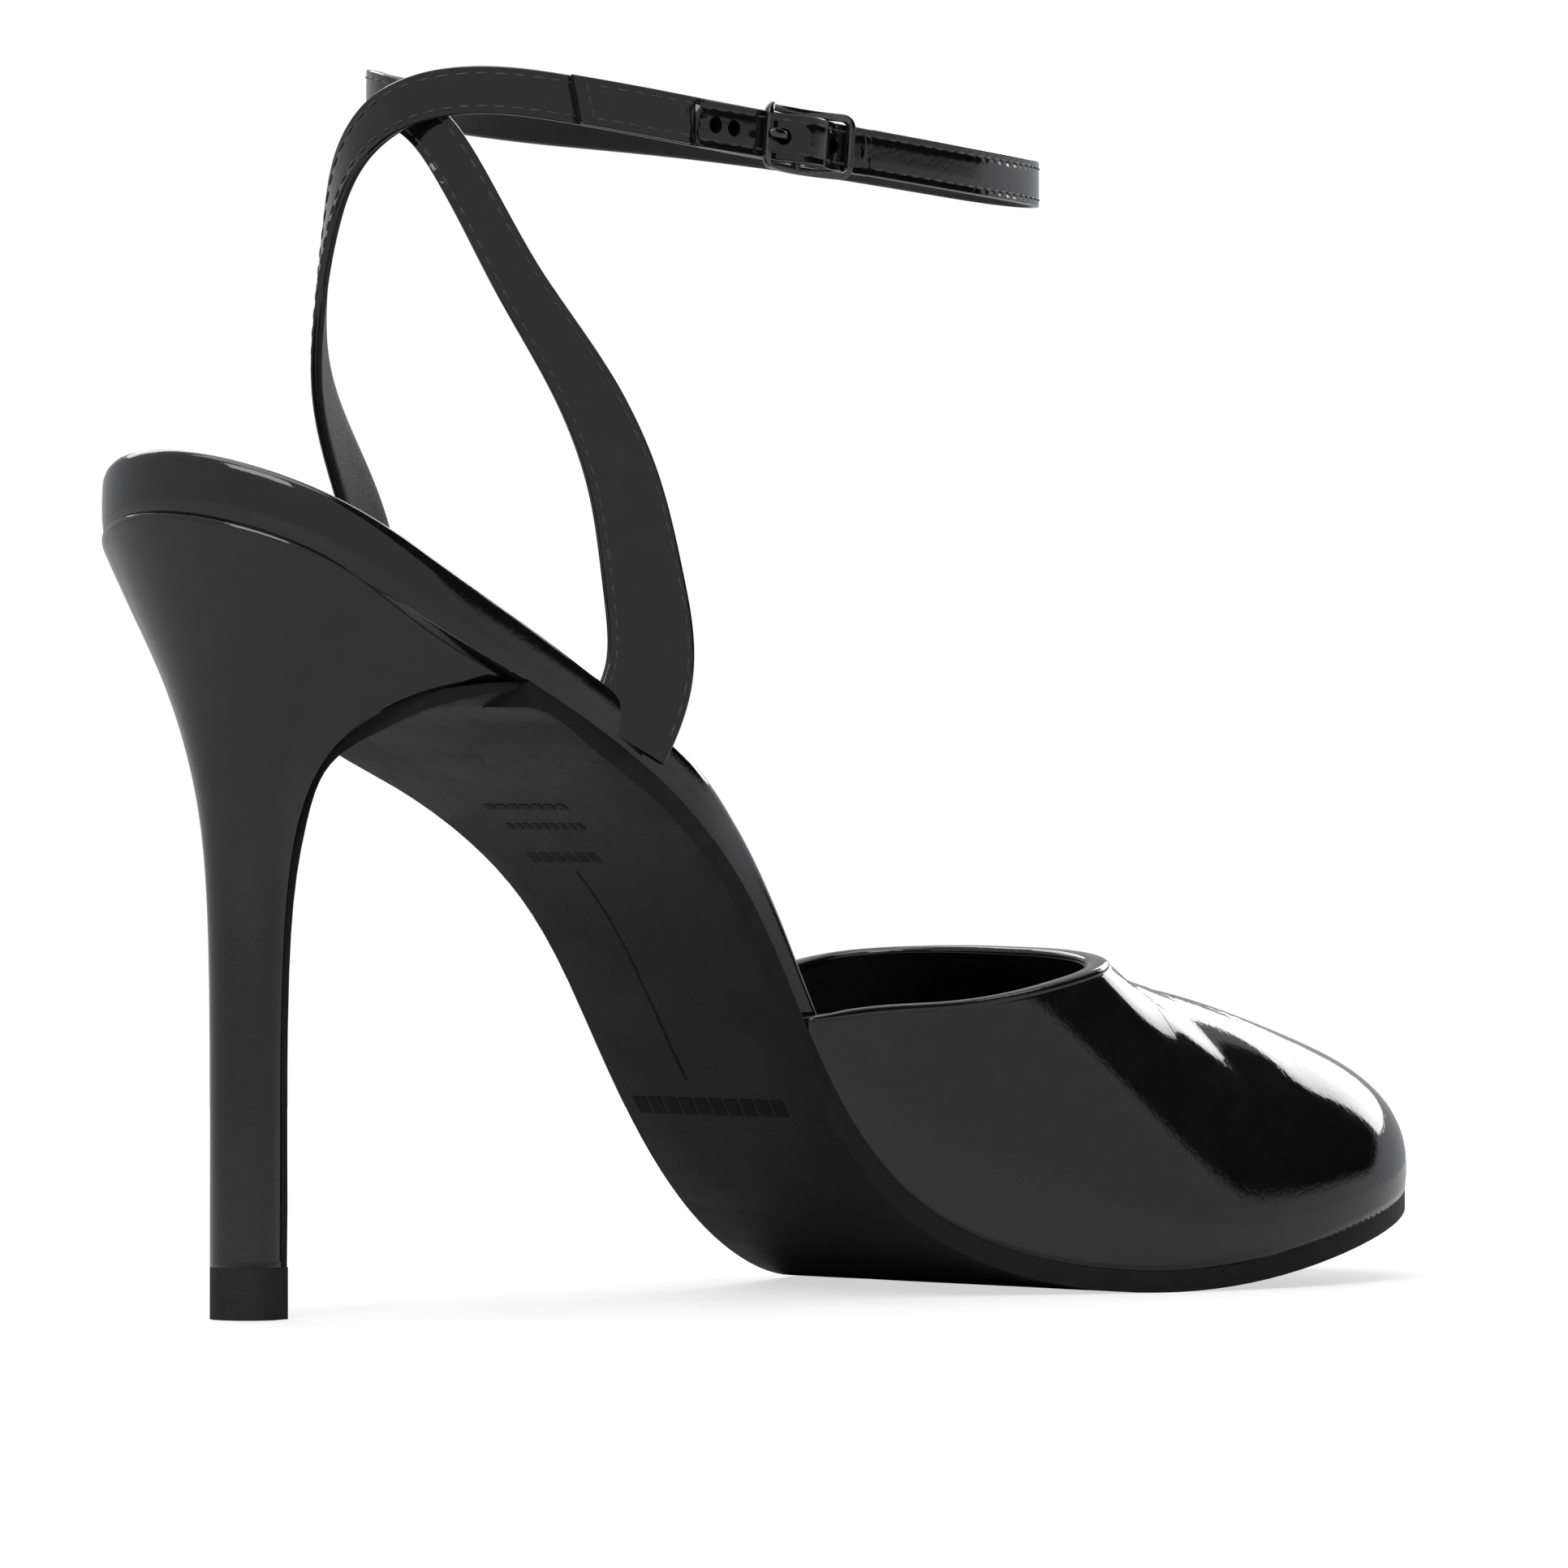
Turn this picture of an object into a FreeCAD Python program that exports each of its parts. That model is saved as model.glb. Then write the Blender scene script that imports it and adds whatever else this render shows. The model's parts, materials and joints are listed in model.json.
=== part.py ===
"""High heel pump with crossed ankle straps: a right shoe, size 37, 100 mm heel.

Frame: millimetres, +Z up, +X towards the toe, -Y the lateral (buckle) side.
The origin is the middle of the heel tip, on the ground.
"""
import FreeCAD
import Part
import math
import os

Vector = FreeCAD.Vector

# ---------------------------------------------------------------- driving dimensions
sole_length = 206.3         # back of the heel seat to the tip of the toe, measured level
seat_height = 99.6          # ground to the back of the heel seat, under the insole
ball_width = 76.0           # across the feather line at the ball
seat_setback = 16.0         # heel stem centre ahead of the back of the seat

outsole_thickness = 2.8
breast_flap_thickness = 2.0
shank_board_thickness = 1.38
insole_thickness = 1.6
foam_thickness = 2.0
rim_leather = 0.9           # patent wrapped over the edge of the foam and insole
rim_flange = 6.0            # how far that wrap turns in over the foam
rim_top_leather = 0.7
rim_front = 77.0            # drawn place where the rim ends inside the vamp
sock_thickness = 0.7
sock_setback = 1.6          # edge of the sock inside the edge of the rim
edge_setback = 1.75          # boards and foam inside the outline, clear of the rim
glue_gap = 0.02

upper_leather = 1.2
puff_thickness = 0.8
lining_thickness = 0.8
lasting_margin = 12.0       # width of the upper turned under the insole
margin_thickness = 0.66

heel_leather = 0.8
tip_height = 6.5
stem_half_width = 4.85
stem_front = 1.0            # breast face of the stem ahead of the stem centre
stem_corner = 3.95          # half width of the stem at its breast face
dowel_offset = -1.5
dowel_outer = 2.0
dowel_inner = 1.25
dowel_below_seat = 35.6     # top of the dowel under the seat height
pin_clearance = 0.05
pin_length = 15.0
pin_head_radius = 2.6
pin_head_height = 1.4
pin_head_sunk = 1.9         # head above the ground

shank_half_width = 5.0
shank_thickness = 1.2
shank_back = -8.0
shank_front = 92.0
shank_clearance = 0.1
shank_board_end = 100.0
rivet_radius = 1.5
rivet_head_height = 0.6
rivet_head_sunk = 0.15      # under the top of the insole, which is curved
screw_radius = 2.0
screw_length = 15.0
screw_head_radius = 3.6
nail_radius = 0.7
nail_length = 9.0
fit_clearance = 0.04

strap_leather = 0.8
strap_lining = 0.6
strap_half_width = 3.0      # round the ankle
strap_base_half_width = 6.2
hole_radius = 1.05
hole_pitch = 8.6
prong_hole_offset = 4.0     # from the centre bar to the hole in use

bar_radius = 0.6
bar_clearance = 0.05
eye_wall = 0.8
frame_reach = 7.0           # centre bar to the middle of each end bar
frame_section = 1.0
frame_side_clearance = 0.2
frame_gap = 1.0             # between the strap and the end bars, for the tilt of the buckle
strap_rest = 0.4            # strap outside the centre bar where it lies beside the buckle
lap_gap = 0.15              # between straps that lie on each other
prong_width = 1.1
prong_thickness = 0.8
prong_slot = 1.7

reach = 60.0                # half width of the blocks that outlines are cut from

# Sizes of the last that the hand-drawn shapes below were drawn on
drawn_length = 206.3
drawn_height = 99.6
drawn_width = 76.0
drawn_setback = 16.0
drawn_stem = 4.85
stretch = sole_length / drawn_length
rise = seat_height / drawn_height
spread = ball_width / drawn_width

strap_total = strap_leather + strap_lining
strap_lap = strap_total + lap_gap
frame_rise = strap_rest + (strap_total + frame_section) / 2 + frame_gap
dowel_top = seat_height - dowel_below_seat

# Feather line seen from the side: share of the length, share of the seat height
SEAT_LINE = [(0.0, 1.0), (0.052, 0.941), (0.116, 0.862), (0.184, 0.793), (0.252, 0.727),
             (0.310, 0.663), (0.359, 0.590), (0.398, 0.504), (0.429, 0.403), (0.458, 0.294),
             (0.490, 0.194), (0.531, 0.107), (0.587, 0.041), (0.645, 0.008), (0.705, 0.0),
             (0.785, 0.017), (0.863, 0.050), (0.935, 0.085), (1.0, 0.118)]

# Outline seen from above: share of the length, lateral and medial shares of the ball width
OUTLINE = [(0.010, 0.132, 0.132), (0.040, 0.243, 0.243), (0.090, 0.316, 0.316),
           (0.150, 0.342, 0.336), (0.210, 0.342, 0.329), (0.290, 0.316, 0.296),
           (0.380, 0.283, 0.243), (0.470, 0.276, 0.224), (0.560, 0.316, 0.270),
           (0.650, 0.408, 0.368), (0.720, 0.474, 0.447), (0.800, 0.500, 0.487),
           (0.870, 0.480, 0.487), (0.920, 0.434, 0.453), (0.960, 0.360, 0.388),
           (0.985, 0.268, 0.272)]

# Front of the heel under the breast flap, seen from the side, up to the seat
BREAST = [(1.05, 25.0), (1.2, 42.0), (1.8, 54.0), (2.9, 62.8), (5.0, 69.6), (8.8, 74.6),
          (14.3, 77.6)]
breast_top = 23.4 * stretch

# Outer face of the flap where it bends into the underside of the waist
FLAP_BEND = [(10.7, 72.7), (15.6, 75.3), (21.5, 76.0), (28.0, 74.4)]

# Half width of the flap seen from above, and seen from the front
FLAP_PLAN = [(-1.0, 3.9), (3.4, 4.1), (4.6, 5.4), (6.8, 7.6), (9.4, 10.4), (13.0, 15.2),
             (17.5, 20.0), (23.0, 24.2)]
FLAP_FRONT = [(0.0, 4.0), (25.0, 4.05), (42.0, 4.2), (54.0, 4.9), (63.0, 6.4), (70.0, 9.5),
              (76.0, 18.0), (80.0, 40.0)]

# Heel sections: back point, front point, half width at the middle and at the front
HEEL = [(-4.85, 5.0, 5.0, 5.0, 4.85, 3.9), (-4.85, 18.0, 5.0, 18.0, 4.85, 3.95),
        (-4.85, 31.0, 5.2, 31.0, 4.87, 4.0), (-4.95, 43.5, 5.6, 43.3, 5.05, 4.4),
        (-5.35, 54.5, 6.4, 53.8, 5.5, 5.0), (-6.25, 63.5, 8.0, 61.4, 6.5, 6.3),
        (-7.9, 72.0, 11.0, 67.2, 8.6, 8.8), (-10.4, 81.2, 16.0, 71.6, 12.4, 13.2),
        (-13.7, 91.0, 23.0, 75.2, 18.0, 19.0), (-16.5, 101.5, 31.0, 78.4, 25.2, 25.8)]

# Top of the last, along the middle, that the vamp is pulled over: height above the sole
CREST = [(72.0, 60.3), (84.0, 69.0), (96.0, 70.6), (107.0, 65.9), (117.0, 58.4), (127.0, 48.7),
         (136.0, 40.6), (144.0, 36.5), (152.0, 33.4), (162.0, 28.6), (172.0, 23.3),
         (179.0, 19.1), (184.0, 15.1), (187.5, 11.2), (189.8, 6.4)]

# Edge of the opening of the vamp: height above the sole on the lateral and medial sides
TOPLINE = [(60.0, -22.8, -22.8), (75.4, -0.5, -0.5), (88.0, 19.0, 19.6), (99.0, 28.0, 29.8),
           (108.5, 33.1, 35.4), (117.0, 36.7, 38.8), (126.0, 39.2, 40.8), (136.0, 40.7, 41.4),
           (150.0, 41.3, 41.3)]

# Middle of each ankle strap: ahead of its foot, across the shoe, above its foot
MEDIAL_STRAP = [(0.0, 22.9, 0.0), (2.1, 23.5, 8.3), (0.6, 22.4, 18.3), (-4.1, 20.0, 28.3),
                (-9.3, 18.0, 35.7), (-15.7, 15.0, 45.7), (-18.5, 12.0, 54.9),
                (-19.4, 9.0, 65.2), (-20.3, 5.0, 72.5), (-19.6, 0.0, 77.7),
                (-17.0, -6.7, 80.7), (-11.5, -12.4, 81.4), (-3.9, -17.2, 80.5),
                (5.1, -20.9, 79.1), (14.1, -23.3, 77.8)]
LATERAL_STRAP = [(0.0, -24.3, 0.0), (3.7, -24.9, 8.4), (4.0, -23.6, 19.8), (2.6, -21.5, 32.1),
                 (-1.5, -18.5, 44.2), (-8.9, -14.5, 57.5), (-13.9, -9.5, 70.7),
                 (-15.6, -4.4, 77.5), (-15.8, 1.4, 80.5), (-13.2, 8.0, 81.9),
                 (-6.9, 14.2, 82.3), (4.1, 20.0, 82.2), (17.1, 24.0, 81.8), (33.1, 26.0, 81.3),
                 (51.1, 25.8, 80.8), (67.1, 22.4, 79.7), (79.1, 16.4, 78.1), (87.1, 9.0, 76.3),
                 (90.5, 1.0, 74.8), (89.5, -6.0, 74.0), (85.1, -12.4, 73.6),
                 (77.1, -18.0, 73.5), (66.1, -22.6, 73.7), (55.1, -25.2, 74.2)]
strap_foot_x = 40.9         # drawn place of the feet of both straps
strap_foot_height = 0.81    # above the feather line
strap_foot_inset = 0.16     # inside the outline
strap_foot_blend = 60.0     # height over which a strap follows the width of the sole
strap_run = Vector(1, -0.035, -0.09)
end_slant = 3.2             # lean of the cut across the free end
end_trim = 1.4

ankle_ahead = 36.4          # middle of the ankle ahead of the feet of the straps
ankle_half_length = 55.0
ankle_half_width = 26.0
buckle_ahead = 29.1
buckle_aside = -25.4
buckle_above = 76.2


# ---------------------------------------------------------------- curves and helpers
def curve_through(points):
    """Smooth curve through points."""
    curve = Part.BSplineCurve()
    curve.interpolate(Points=[Vector(*point) for point in points])
    return curve


def line(start, end):
    return Part.LineSegment(start, end).toShape()


def read_off(table, x):
    """Straight-line value at x in a table of (x, value)."""
    for (x0, v0), (x1, v1) in zip(table, table[1:]):
        if x <= x1:
            return v0 + (v1 - v0) * (x - x0) / (x1 - x0)
    return table[-1][1]


def ease(share):
    """0 to 1 with level ends."""
    share = min(1.0, max(0.0, share))
    return share * share * (3 - 2 * share)


def along(share):
    return share * sole_length - seat_setback


def from_drawn(x):
    """Place along the shoe of a hand-drawn place."""
    return along((x + drawn_setback) / drawn_length)


def seat_point(share, height_share):
    height = outsole_thickness + (seat_height - outsole_thickness) * height_share
    return (along(share), 0.0, height)


def make_seat_line():
    points = [seat_point(*pair) for pair in SEAT_LINE]
    back, heel = points[0], points[1]
    toe, last = points[-1], points[-2]
    before = [2 * b - h for b, h in zip(back, heel)]
    beyond = [2 * t - l for t, l in zip(toe, last)]
    return curve_through([before] + points + [beyond])


seat_line = make_seat_line()
SEAT_STATIONS = [seat_line.FirstParameter
                 + (seat_line.LastParameter - seat_line.FirstParameter) * i / 400.0
                 for i in range(401)]
SEAT_BY_X = [(seat_line.value(u).x, u) for u in SEAT_STATIONS]


def seat_at(x):
    """Point on the seat line at x, and the direction square to it."""
    u = read_off(SEAT_BY_X, x)
    run = seat_line.tangent(u)[0]
    return seat_line.value(u), Vector(-run.z, 0, run.x)


def on_seat(x, y, height):
    """Point at a height square above the seat line."""
    point, up = seat_at(x)
    return point + up * height + Vector(0, y, 0)


def seat_z(x, height):
    """Level of the surface that lies a height above the seat line, straight above x."""
    point, up = seat_at(x)
    return point.z + height / up.z


def seat_offset(height, start=None):
    """The seat line moved square to itself, from x = start forward."""
    first = read_off(SEAT_BY_X, start) if start is not None else seat_line.FirstParameter
    last = seat_line.LastParameter
    count = 28
    points = []
    for i in range(count + 1):
        u = first + (last - first) * i / count
        run = seat_line.tangent(u)[0]
        points.append(seat_line.value(u) + Vector(-run.z, 0, run.x) * height)
    return curve_through(points)


def spans(curve, count):
    """The curve as a run of shorter edges."""
    first, last = curve.FirstParameter, curve.LastParameter
    cuts = [first + (last - first) * i / count for i in range(count + 1)]
    edges = []
    for start, end in zip(cuts, cuts[1:]):
        piece = curve.copy()
        piece.segment(start, end)
        edges.append(piece.toShape())
    return edges


def block_between(edges):
    """Side-view outline drawn out to a block across the whole width."""
    face = Part.Face(Part.Wire(Part.__sortEdges__(edges)))
    face.translate(Vector(0, -reach, 0))
    return face.extrude(Vector(0, 2 * reach, 0))


def layer(low, high):
    """Block between two heights above the seat line."""
    lower = seat_offset(low)
    upper = seat_offset(high)
    return block_between(spans(lower, 8) + [line(lower.EndPoint, upper.EndPoint)]
                         + spans(upper, 8) + [line(upper.StartPoint, lower.StartPoint)])


def outline_curve(inset_at):
    """Outline from above, moved in by inset_at(x)."""
    lateral = [(along(s), -a * ball_width) for s, a, b in OUTLINE]
    medial = [(along(s), b * ball_width) for s, a, b in OUTLINE]
    ring = [(along(0), 0.0)] + lateral + [(along(1), 0.0)] + medial[::-1]
    curve = Part.BSplineCurve()
    curve.interpolate(Points=[Vector(x, y, 0) for x, y in ring], PeriodicFlag=True)
    count = 44
    points = []
    for i in range(count):
        u = curve.FirstParameter + (curve.LastParameter - curve.FirstParameter) * i / count
        point = curve.value(u)
        run = curve.tangent(u)[0]
        points.append(point + Vector(-run.y, run.x, 0) * inset_at(point.x))
    moved = Part.BSplineCurve()
    moved.interpolate(Points=points, PeriodicFlag=True)
    return moved


def outline_face(inset_at):
    curve = outline_curve(inset_at)
    first, last = curve.FirstParameter, curve.LastParameter
    cuts = [first + (last - first) * i / 12 for i in range(13)]
    return Part.Face(Part.Wire([curve.toShape(a, b) for a, b in zip(cuts, cuts[1:])]))


def upright(face):
    """Tall block on a face drawn from above."""
    face.translate(Vector(0, 0, -20))
    block = face.extrude(Vector(0, 0, 240))
    return block


def outline_block(inset_at):
    """Upright block with the outline moved in by inset_at(x)."""
    return upright(outline_face(inset_at))


def ring_block(outer_inset_at, inner_inset_at):
    """Upright wall between two inset outlines."""
    return upright(outline_face(outer_inset_at).cut(outline_face(inner_inset_at)).Faces[0])


def width_tables():
    """Half widths of the outline at x, lateral and medial."""
    curve = outline_curve(lambda x: 0.0)
    points = curve.toShape().discretize(900)
    lateral = sorted((p.x, -p.y) for p in points if p.y <= 0)
    medial = sorted((p.x, p.y) for p in points if p.y >= 0)
    return lateral, medial


LATERAL_WIDTH, MEDIAL_WIDTH = width_tables()
upper_total = upper_leather + puff_thickness + lining_thickness


def inside_upper(inset):
    """Inset that grows by the thickness of the upper where the vamp wraps the insole."""
    start = from_drawn(54.0)
    return lambda x: inset + (upper_total + 0.1) * ease((x - start) / (20.0 * stretch))


def inside_margin(inset):
    """Inset that leaves room for the lasting margin under the forepart."""
    start = from_drawn(50.0)
    return lambda x: inset + (lasting_margin + 0.6) * ease((x - start) / (18.0 * stretch))


def cylinder(radius, start, end):
    axis = end - start
    return Part.makeCylinder(radius, axis.Length, start, axis)


def solid_from(faces):
    shell = Part.makeShell(faces)
    shell.sewShape()
    solid = Part.makeSolid(Part.makeShell(shell.Faces))
    if solid.Volume < 0:
        solid.reverse()
    return solid


def straight_across(first, second):
    """Surface of straight lines between two curves with the same knots."""
    surface = Part.BSplineSurface()
    surface.buildFromPolesMultsKnots([first.getPoles(), second.getPoles()], [2, 2],
                                     first.getMultiplicities(), [0.0, 1.0], first.getKnots(),
                                     False, False, 1, first.Degree)
    return surface


def solid_through(rows):
    """Solid whose side runs through rows of points, closed straight across each row."""
    side = Part.BSplineSurface()
    side.interpolate(rows)
    u_first, u_last, v_first, v_last = side.bounds()
    faces = [side.toShape(),
             straight_across(side.vIso(v_first), side.vIso(v_last)).toShape()]
    for u in (u_first, u_last):
        end = side.uIso(u)
        faces.append(Part.Face(Part.Wire([end.toShape(), line(end.EndPoint, end.StartPoint)])))
    return solid_from(faces)


def tidy(shape):
    """The solids of a result, joined flush faces merged."""
    shape = shape.removeSplitter()
    solids = shape.Solids
    return solids[0] if len(solids) == 1 else Part.makeCompound(solids)


# ---------------------------------------------------------------- sole
def breast_points():
    """Front of the heel from the tip to under the seat."""
    return [Vector(stem_front, 0, tip_height)] + [
        Vector(stem_front + (x - 1.0) * stretch, 0, z * rise) for x, z in BREAST]


def breast_curve():
    return curve_through(breast_points() + [seat_at(breast_top)[0]])


def flap_curve():
    """Outer face of the flap and underside of the outsole as one line."""
    breast = breast_curve()
    points = []
    for point in breast_points()[:6]:
        run = breast.tangent(breast.parameter(point))[0]
        points.append(point + Vector(run.z, 0, -run.x) * breast_flap_thickness)
    points += [Vector(x * stretch, 0, z * rise) for x, z in FLAP_BEND]
    under = seat_offset(-outsole_thickness, from_drawn(36.0))
    count = 18
    for i in range(count + 1):
        u = under.FirstParameter + (under.LastParameter - under.FirstParameter) * i / count
        points.append(under.value(u))
    return curve_through(points)


def heel_width(half):
    """Drawn half width of the heel or flap, on the stem and sole of this size."""
    return stem_half_width + (half - drawn_stem) * spread


def mirrored_face(curve_points):
    """Face between a curve and its mirror image across the middle of the shoe."""
    left = curve_through([(x, -y, z) for x, y, z in curve_points])
    right = curve_through(curve_points)
    return Part.Face(Part.Wire([left.toShape(), line(left.EndPoint, right.EndPoint),
                                right.toShape(), line(right.StartPoint, left.StartPoint)]))


def flap_block():
    """Room of the flap: its plan drawn up, narrowed to the stem as seen from the front."""
    plan = mirrored_face([(x * stretch, heel_width(half), 0) for x, half in FLAP_PLAN])
    front = mirrored_face([(-2.0, heel_width(half), z * rise) for z, half in FLAP_FRONT])
    return plan.extrude(Vector(0, 0, 160)).common(front.extrude(Vector(60, 0, 0)))


def heel_space():
    """Block behind the breast curve and under the seat line, where the heel is."""
    breast = breast_curve()
    seat = seat_line.copy()
    seat.segment(seat.FirstParameter, read_off(SEAT_BY_X, breast_top))
    start = seat.StartPoint
    foot = Vector(start.x, 0, tip_height)
    return block_between(spans(breast, 3) + spans(seat, 3)
                         + [line(start, foot), line(foot, breast.StartPoint)])


def make_outsole():
    breast = breast_curve()
    under = flap_curve()
    top = seat_offset(0.0, breast_top)
    block = block_between(spans(breast, 3) + spans(top, 7) + [line(top.EndPoint, under.EndPoint)]
                          + spans(under, 10) + [line(under.StartPoint, breast.StartPoint)])
    behind = Part.makeBox(60, 2 * reach, 200,
                          Vector(FLAP_PLAN[-1][0] * stretch - 60, -reach, -10))
    flap = block.common(behind).common(flap_block())
    sole = block.cut(behind).common(outline_block(lambda x: 0.0))
    return tidy(flap.fuse(sole))


def make_filler():
    area = outline_block(lambda x: lasting_margin + 0.8)
    front = Part.makeBox(200, 2 * reach, 260, Vector(shank_board_end + 0.5, -reach, -30))
    return tidy(layer(glue_gap, shank_board_thickness).common(area).common(front))


# ---------------------------------------------------------------- insole and shank
insole_low = shank_board_thickness + glue_gap
insole_high = insole_low + insole_thickness
foam_low = insole_high + glue_gap
foam_high = foam_low + foam_thickness
flange_low = foam_high + glue_gap
flange_high = flange_low + rim_top_leather
sock_low = flange_high + glue_gap
sock_high = sock_low + sock_thickness
RIVET_X = (20.0, 66.0)
SCREW_X = 9.0
NAIL_PLACES = [(-5.0, 0.0), (1.0, 8.5), (1.0, -8.5), (10.5, 7.2), (10.5, -7.2)]


def strip(half_width, start, end, low, high):
    """Length of a layer with straight sides."""
    box = Part.makeBox(end - start, 2 * half_width, 260, Vector(start, -half_width, -60))
    return layer(low, high).common(box)


def nail_rod(x, y, radius, low, high):
    return cylinder(radius, on_seat(x, y, low), on_seat(x, y, high))


def fastener_holes(extra):
    holes = [nail_rod(x, y, nail_radius + extra, -nail_length, insole_high + 0.1)
             for x, y in NAIL_PLACES]
    holes.append(nail_rod(SCREW_X, 0, screw_radius + extra, -screw_length, insole_high))
    return holes


def screw_head(extra):
    return nail_rod(SCREW_X, 0, screw_head_radius + extra, shank_board_thickness - extra,
                    insole_high + extra)


def make_shank_board():
    inset = inside_margin(edge_setback)
    board = layer(glue_gap, shank_board_thickness).common(outline_block(inset))
    end = Part.makeBox(200, 2 * reach, 260, Vector(shank_board_end, -reach, -60))
    groove = strip(shank_half_width + shank_clearance, shank_back - shank_clearance,
                   shank_front + shank_clearance, -1.0, shank_board_thickness + 1.0)
    return tidy(board.cut([end, groove] + fastener_holes(fit_clearance)))


def make_steel_shank():
    shank = strip(shank_half_width, shank_back, shank_front, glue_gap,
                  glue_gap + shank_thickness)
    holes = [nail_rod(x, 0, rivet_radius + fit_clearance, -1, 3) for x in RIVET_X]
    return tidy(shank.cut(holes + fastener_holes(fit_clearance)))


def make_shank_rivets():
    rivets = []
    top = insole_high - rivet_head_sunk
    for x in RIVET_X:
        body = nail_rod(x, 0, rivet_radius, 2 * glue_gap, top)
        head = nail_rod(x, 0, 2 * rivet_radius, top - rivet_head_height, top)
        rivets.append(body.fuse(head).removeSplitter())
    return Part.makeCompound(rivets)


def make_insole_board():
    board = layer(insole_low, insole_high).common(outline_block(inside_upper(edge_setback)))
    rivets = [nail_rod(x, 0, rivet_radius + fit_clearance, 0, 4) for x in RIVET_X]
    seat = insole_high - rivet_head_sunk - rivet_head_height - fit_clearance
    heads = [nail_rod(x, 0, 2 * rivet_radius + fit_clearance, seat, insole_high + 1)
             for x in RIVET_X]
    return tidy(board.cut(rivets + heads + fastener_holes(fit_clearance)
                          + [screw_head(fit_clearance), upper_room()] + strap_slots()))


def make_foam_pad():
    pad = layer(foam_low, foam_high).common(outline_block(inside_upper(edge_setback)))
    return tidy(pad.cut([upper_room()] + strap_slots()))


def make_rim_cover():
    """Patent wrapped round the insole edge and turned in over the foam, ending in the vamp."""
    edge = inside_upper(0.0)
    wall = layer(glue_gap, flange_high).common(ring_block(edge, inside_upper(rim_leather)))
    flange = layer(flange_low, flange_high).common(ring_block(edge, inside_upper(rim_flange)))
    vamp_end = Part.makeBox(200, 2 * reach, 260, Vector(from_drawn(rim_front), -reach, -60))
    over_margin = Part.makeBox(200, 2 * reach, 260, Vector(from_drawn(68.0), -reach, -60))
    margin = layer(-1.0, insole_low).common(over_margin)
    return tidy(wall.fuse(flange).cut([vamp_end, margin] + strap_slots()))


def make_sock_lining():
    sock = layer(sock_low, sock_high).common(outline_block(inside_upper(sock_setback)))
    return tidy(sock.cut([upper_room()] + strap_slots()))


# ---------------------------------------------------------------- heel
def heel_section(back_x, back_z, front_x, front_z, middle, front, inset):
    """Points round a U-shaped section, from the lateral front corner to the medial one."""
    back = Vector(back_x, 0, back_z)
    run = Vector(front_x, 0, front_z) - back
    start = back + run * (inset / run.Length)
    depth = run * (1 - inset / run.Length)
    round_share = min(0.8, middle / run.Length)
    back_half = []
    for angle in (-90, -67.5, -45, -22.5, 0, 22.5, 45, 67.5, 90):
        bend = math.radians(angle)
        back_half.append(start + depth * ((1 - math.cos(bend)) * round_share)
                         + Vector(0, math.sin(bend) * (middle - inset), 0))
    flank = []
    for share in (1.0, 2 / 3, 1 / 3):
        half = middle + (front - middle) * share - inset
        flank.append((start + depth * (round_share + (1 - round_share) * share), half))
    lateral = [place - Vector(0, half, 0) for place, half in flank]
    medial = [place + Vector(0, half, 0) for place, half in flank[::-1]]
    return lateral + back_half + medial


def heel_body(inset):
    """Outer form of the heel, moved in by inset."""
    rows = []
    for back_x, back_z, front_x, front_z, middle, front in HEEL:
        back = (back_x + drawn_stem) * seat_setback / drawn_setback - stem_half_width
        rows.append(heel_section(back, back_z * rise, front_x * stretch, front_z * rise,
                                 heel_width(middle), heel_width(front), inset))
    return solid_through(rows)


def heel_bores():
    return [cylinder(dowel_outer + fit_clearance, Vector(dowel_offset, 0, 0),
                     Vector(dowel_offset, 0, dowel_top + 0.2))] + fastener_holes(fit_clearance)


def make_heel_core():
    return tidy(heel_body(heel_leather).common(heel_space()).cut(heel_bores()))


def make_heel_cover():
    return tidy(heel_body(0.0).common(heel_space()).cut(heel_body(heel_leather)))


def make_heel_dowel():
    low = Vector(dowel_offset, 0, tip_height)
    high = Vector(dowel_offset, 0, dowel_top)
    return cylinder(dowel_outer, low, high).cut(cylinder(dowel_inner, low, high))


def pin(extra):
    foot = Vector(dowel_offset, 0, pin_head_sunk)
    neck = foot + Vector(0, 0, pin_head_height)
    tip = Vector(dowel_offset, 0, tip_height + pin_length)
    shaft = cylinder(dowel_inner - pin_clearance + extra, foot, tip)
    head = cylinder(pin_head_radius + extra, foot, neck)
    return head.fuse(shaft).removeSplitter()


def make_top_piece():
    back = stem_half_width
    front = stem_front + breast_flap_thickness
    half = stem_corner
    arc = Part.Arc(Vector(0, -back, 0), Vector(-back, 0, 0), Vector(0, back, 0)).toShape()
    edges = [arc, line(Vector(0, back, 0), Vector(front, half, 0)),
             line(Vector(front, half, 0), Vector(front, -half, 0)),
             line(Vector(front, -half, 0), Vector(0, -back, 0))]
    body = Part.Face(Part.Wire(edges)).extrude(Vector(0, 0, tip_height - glue_gap))
    return tidy(body.cut(pin(0.0)))


def make_heel_screw():
    body = nail_rod(SCREW_X, 0, screw_radius, -screw_length + 0.5, insole_high - 0.4)
    head = nail_rod(SCREW_X, 0, screw_head_radius, shank_board_thickness + fit_clearance,
                    insole_high - fit_clearance)
    return body.fuse(head).removeSplitter()


def make_heel_nails():
    return Part.makeCompound([nail_rod(x, y, nail_radius, -nail_length + 0.5,
                                       insole_high - fit_clearance) for x, y in NAIL_PLACES])


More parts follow.
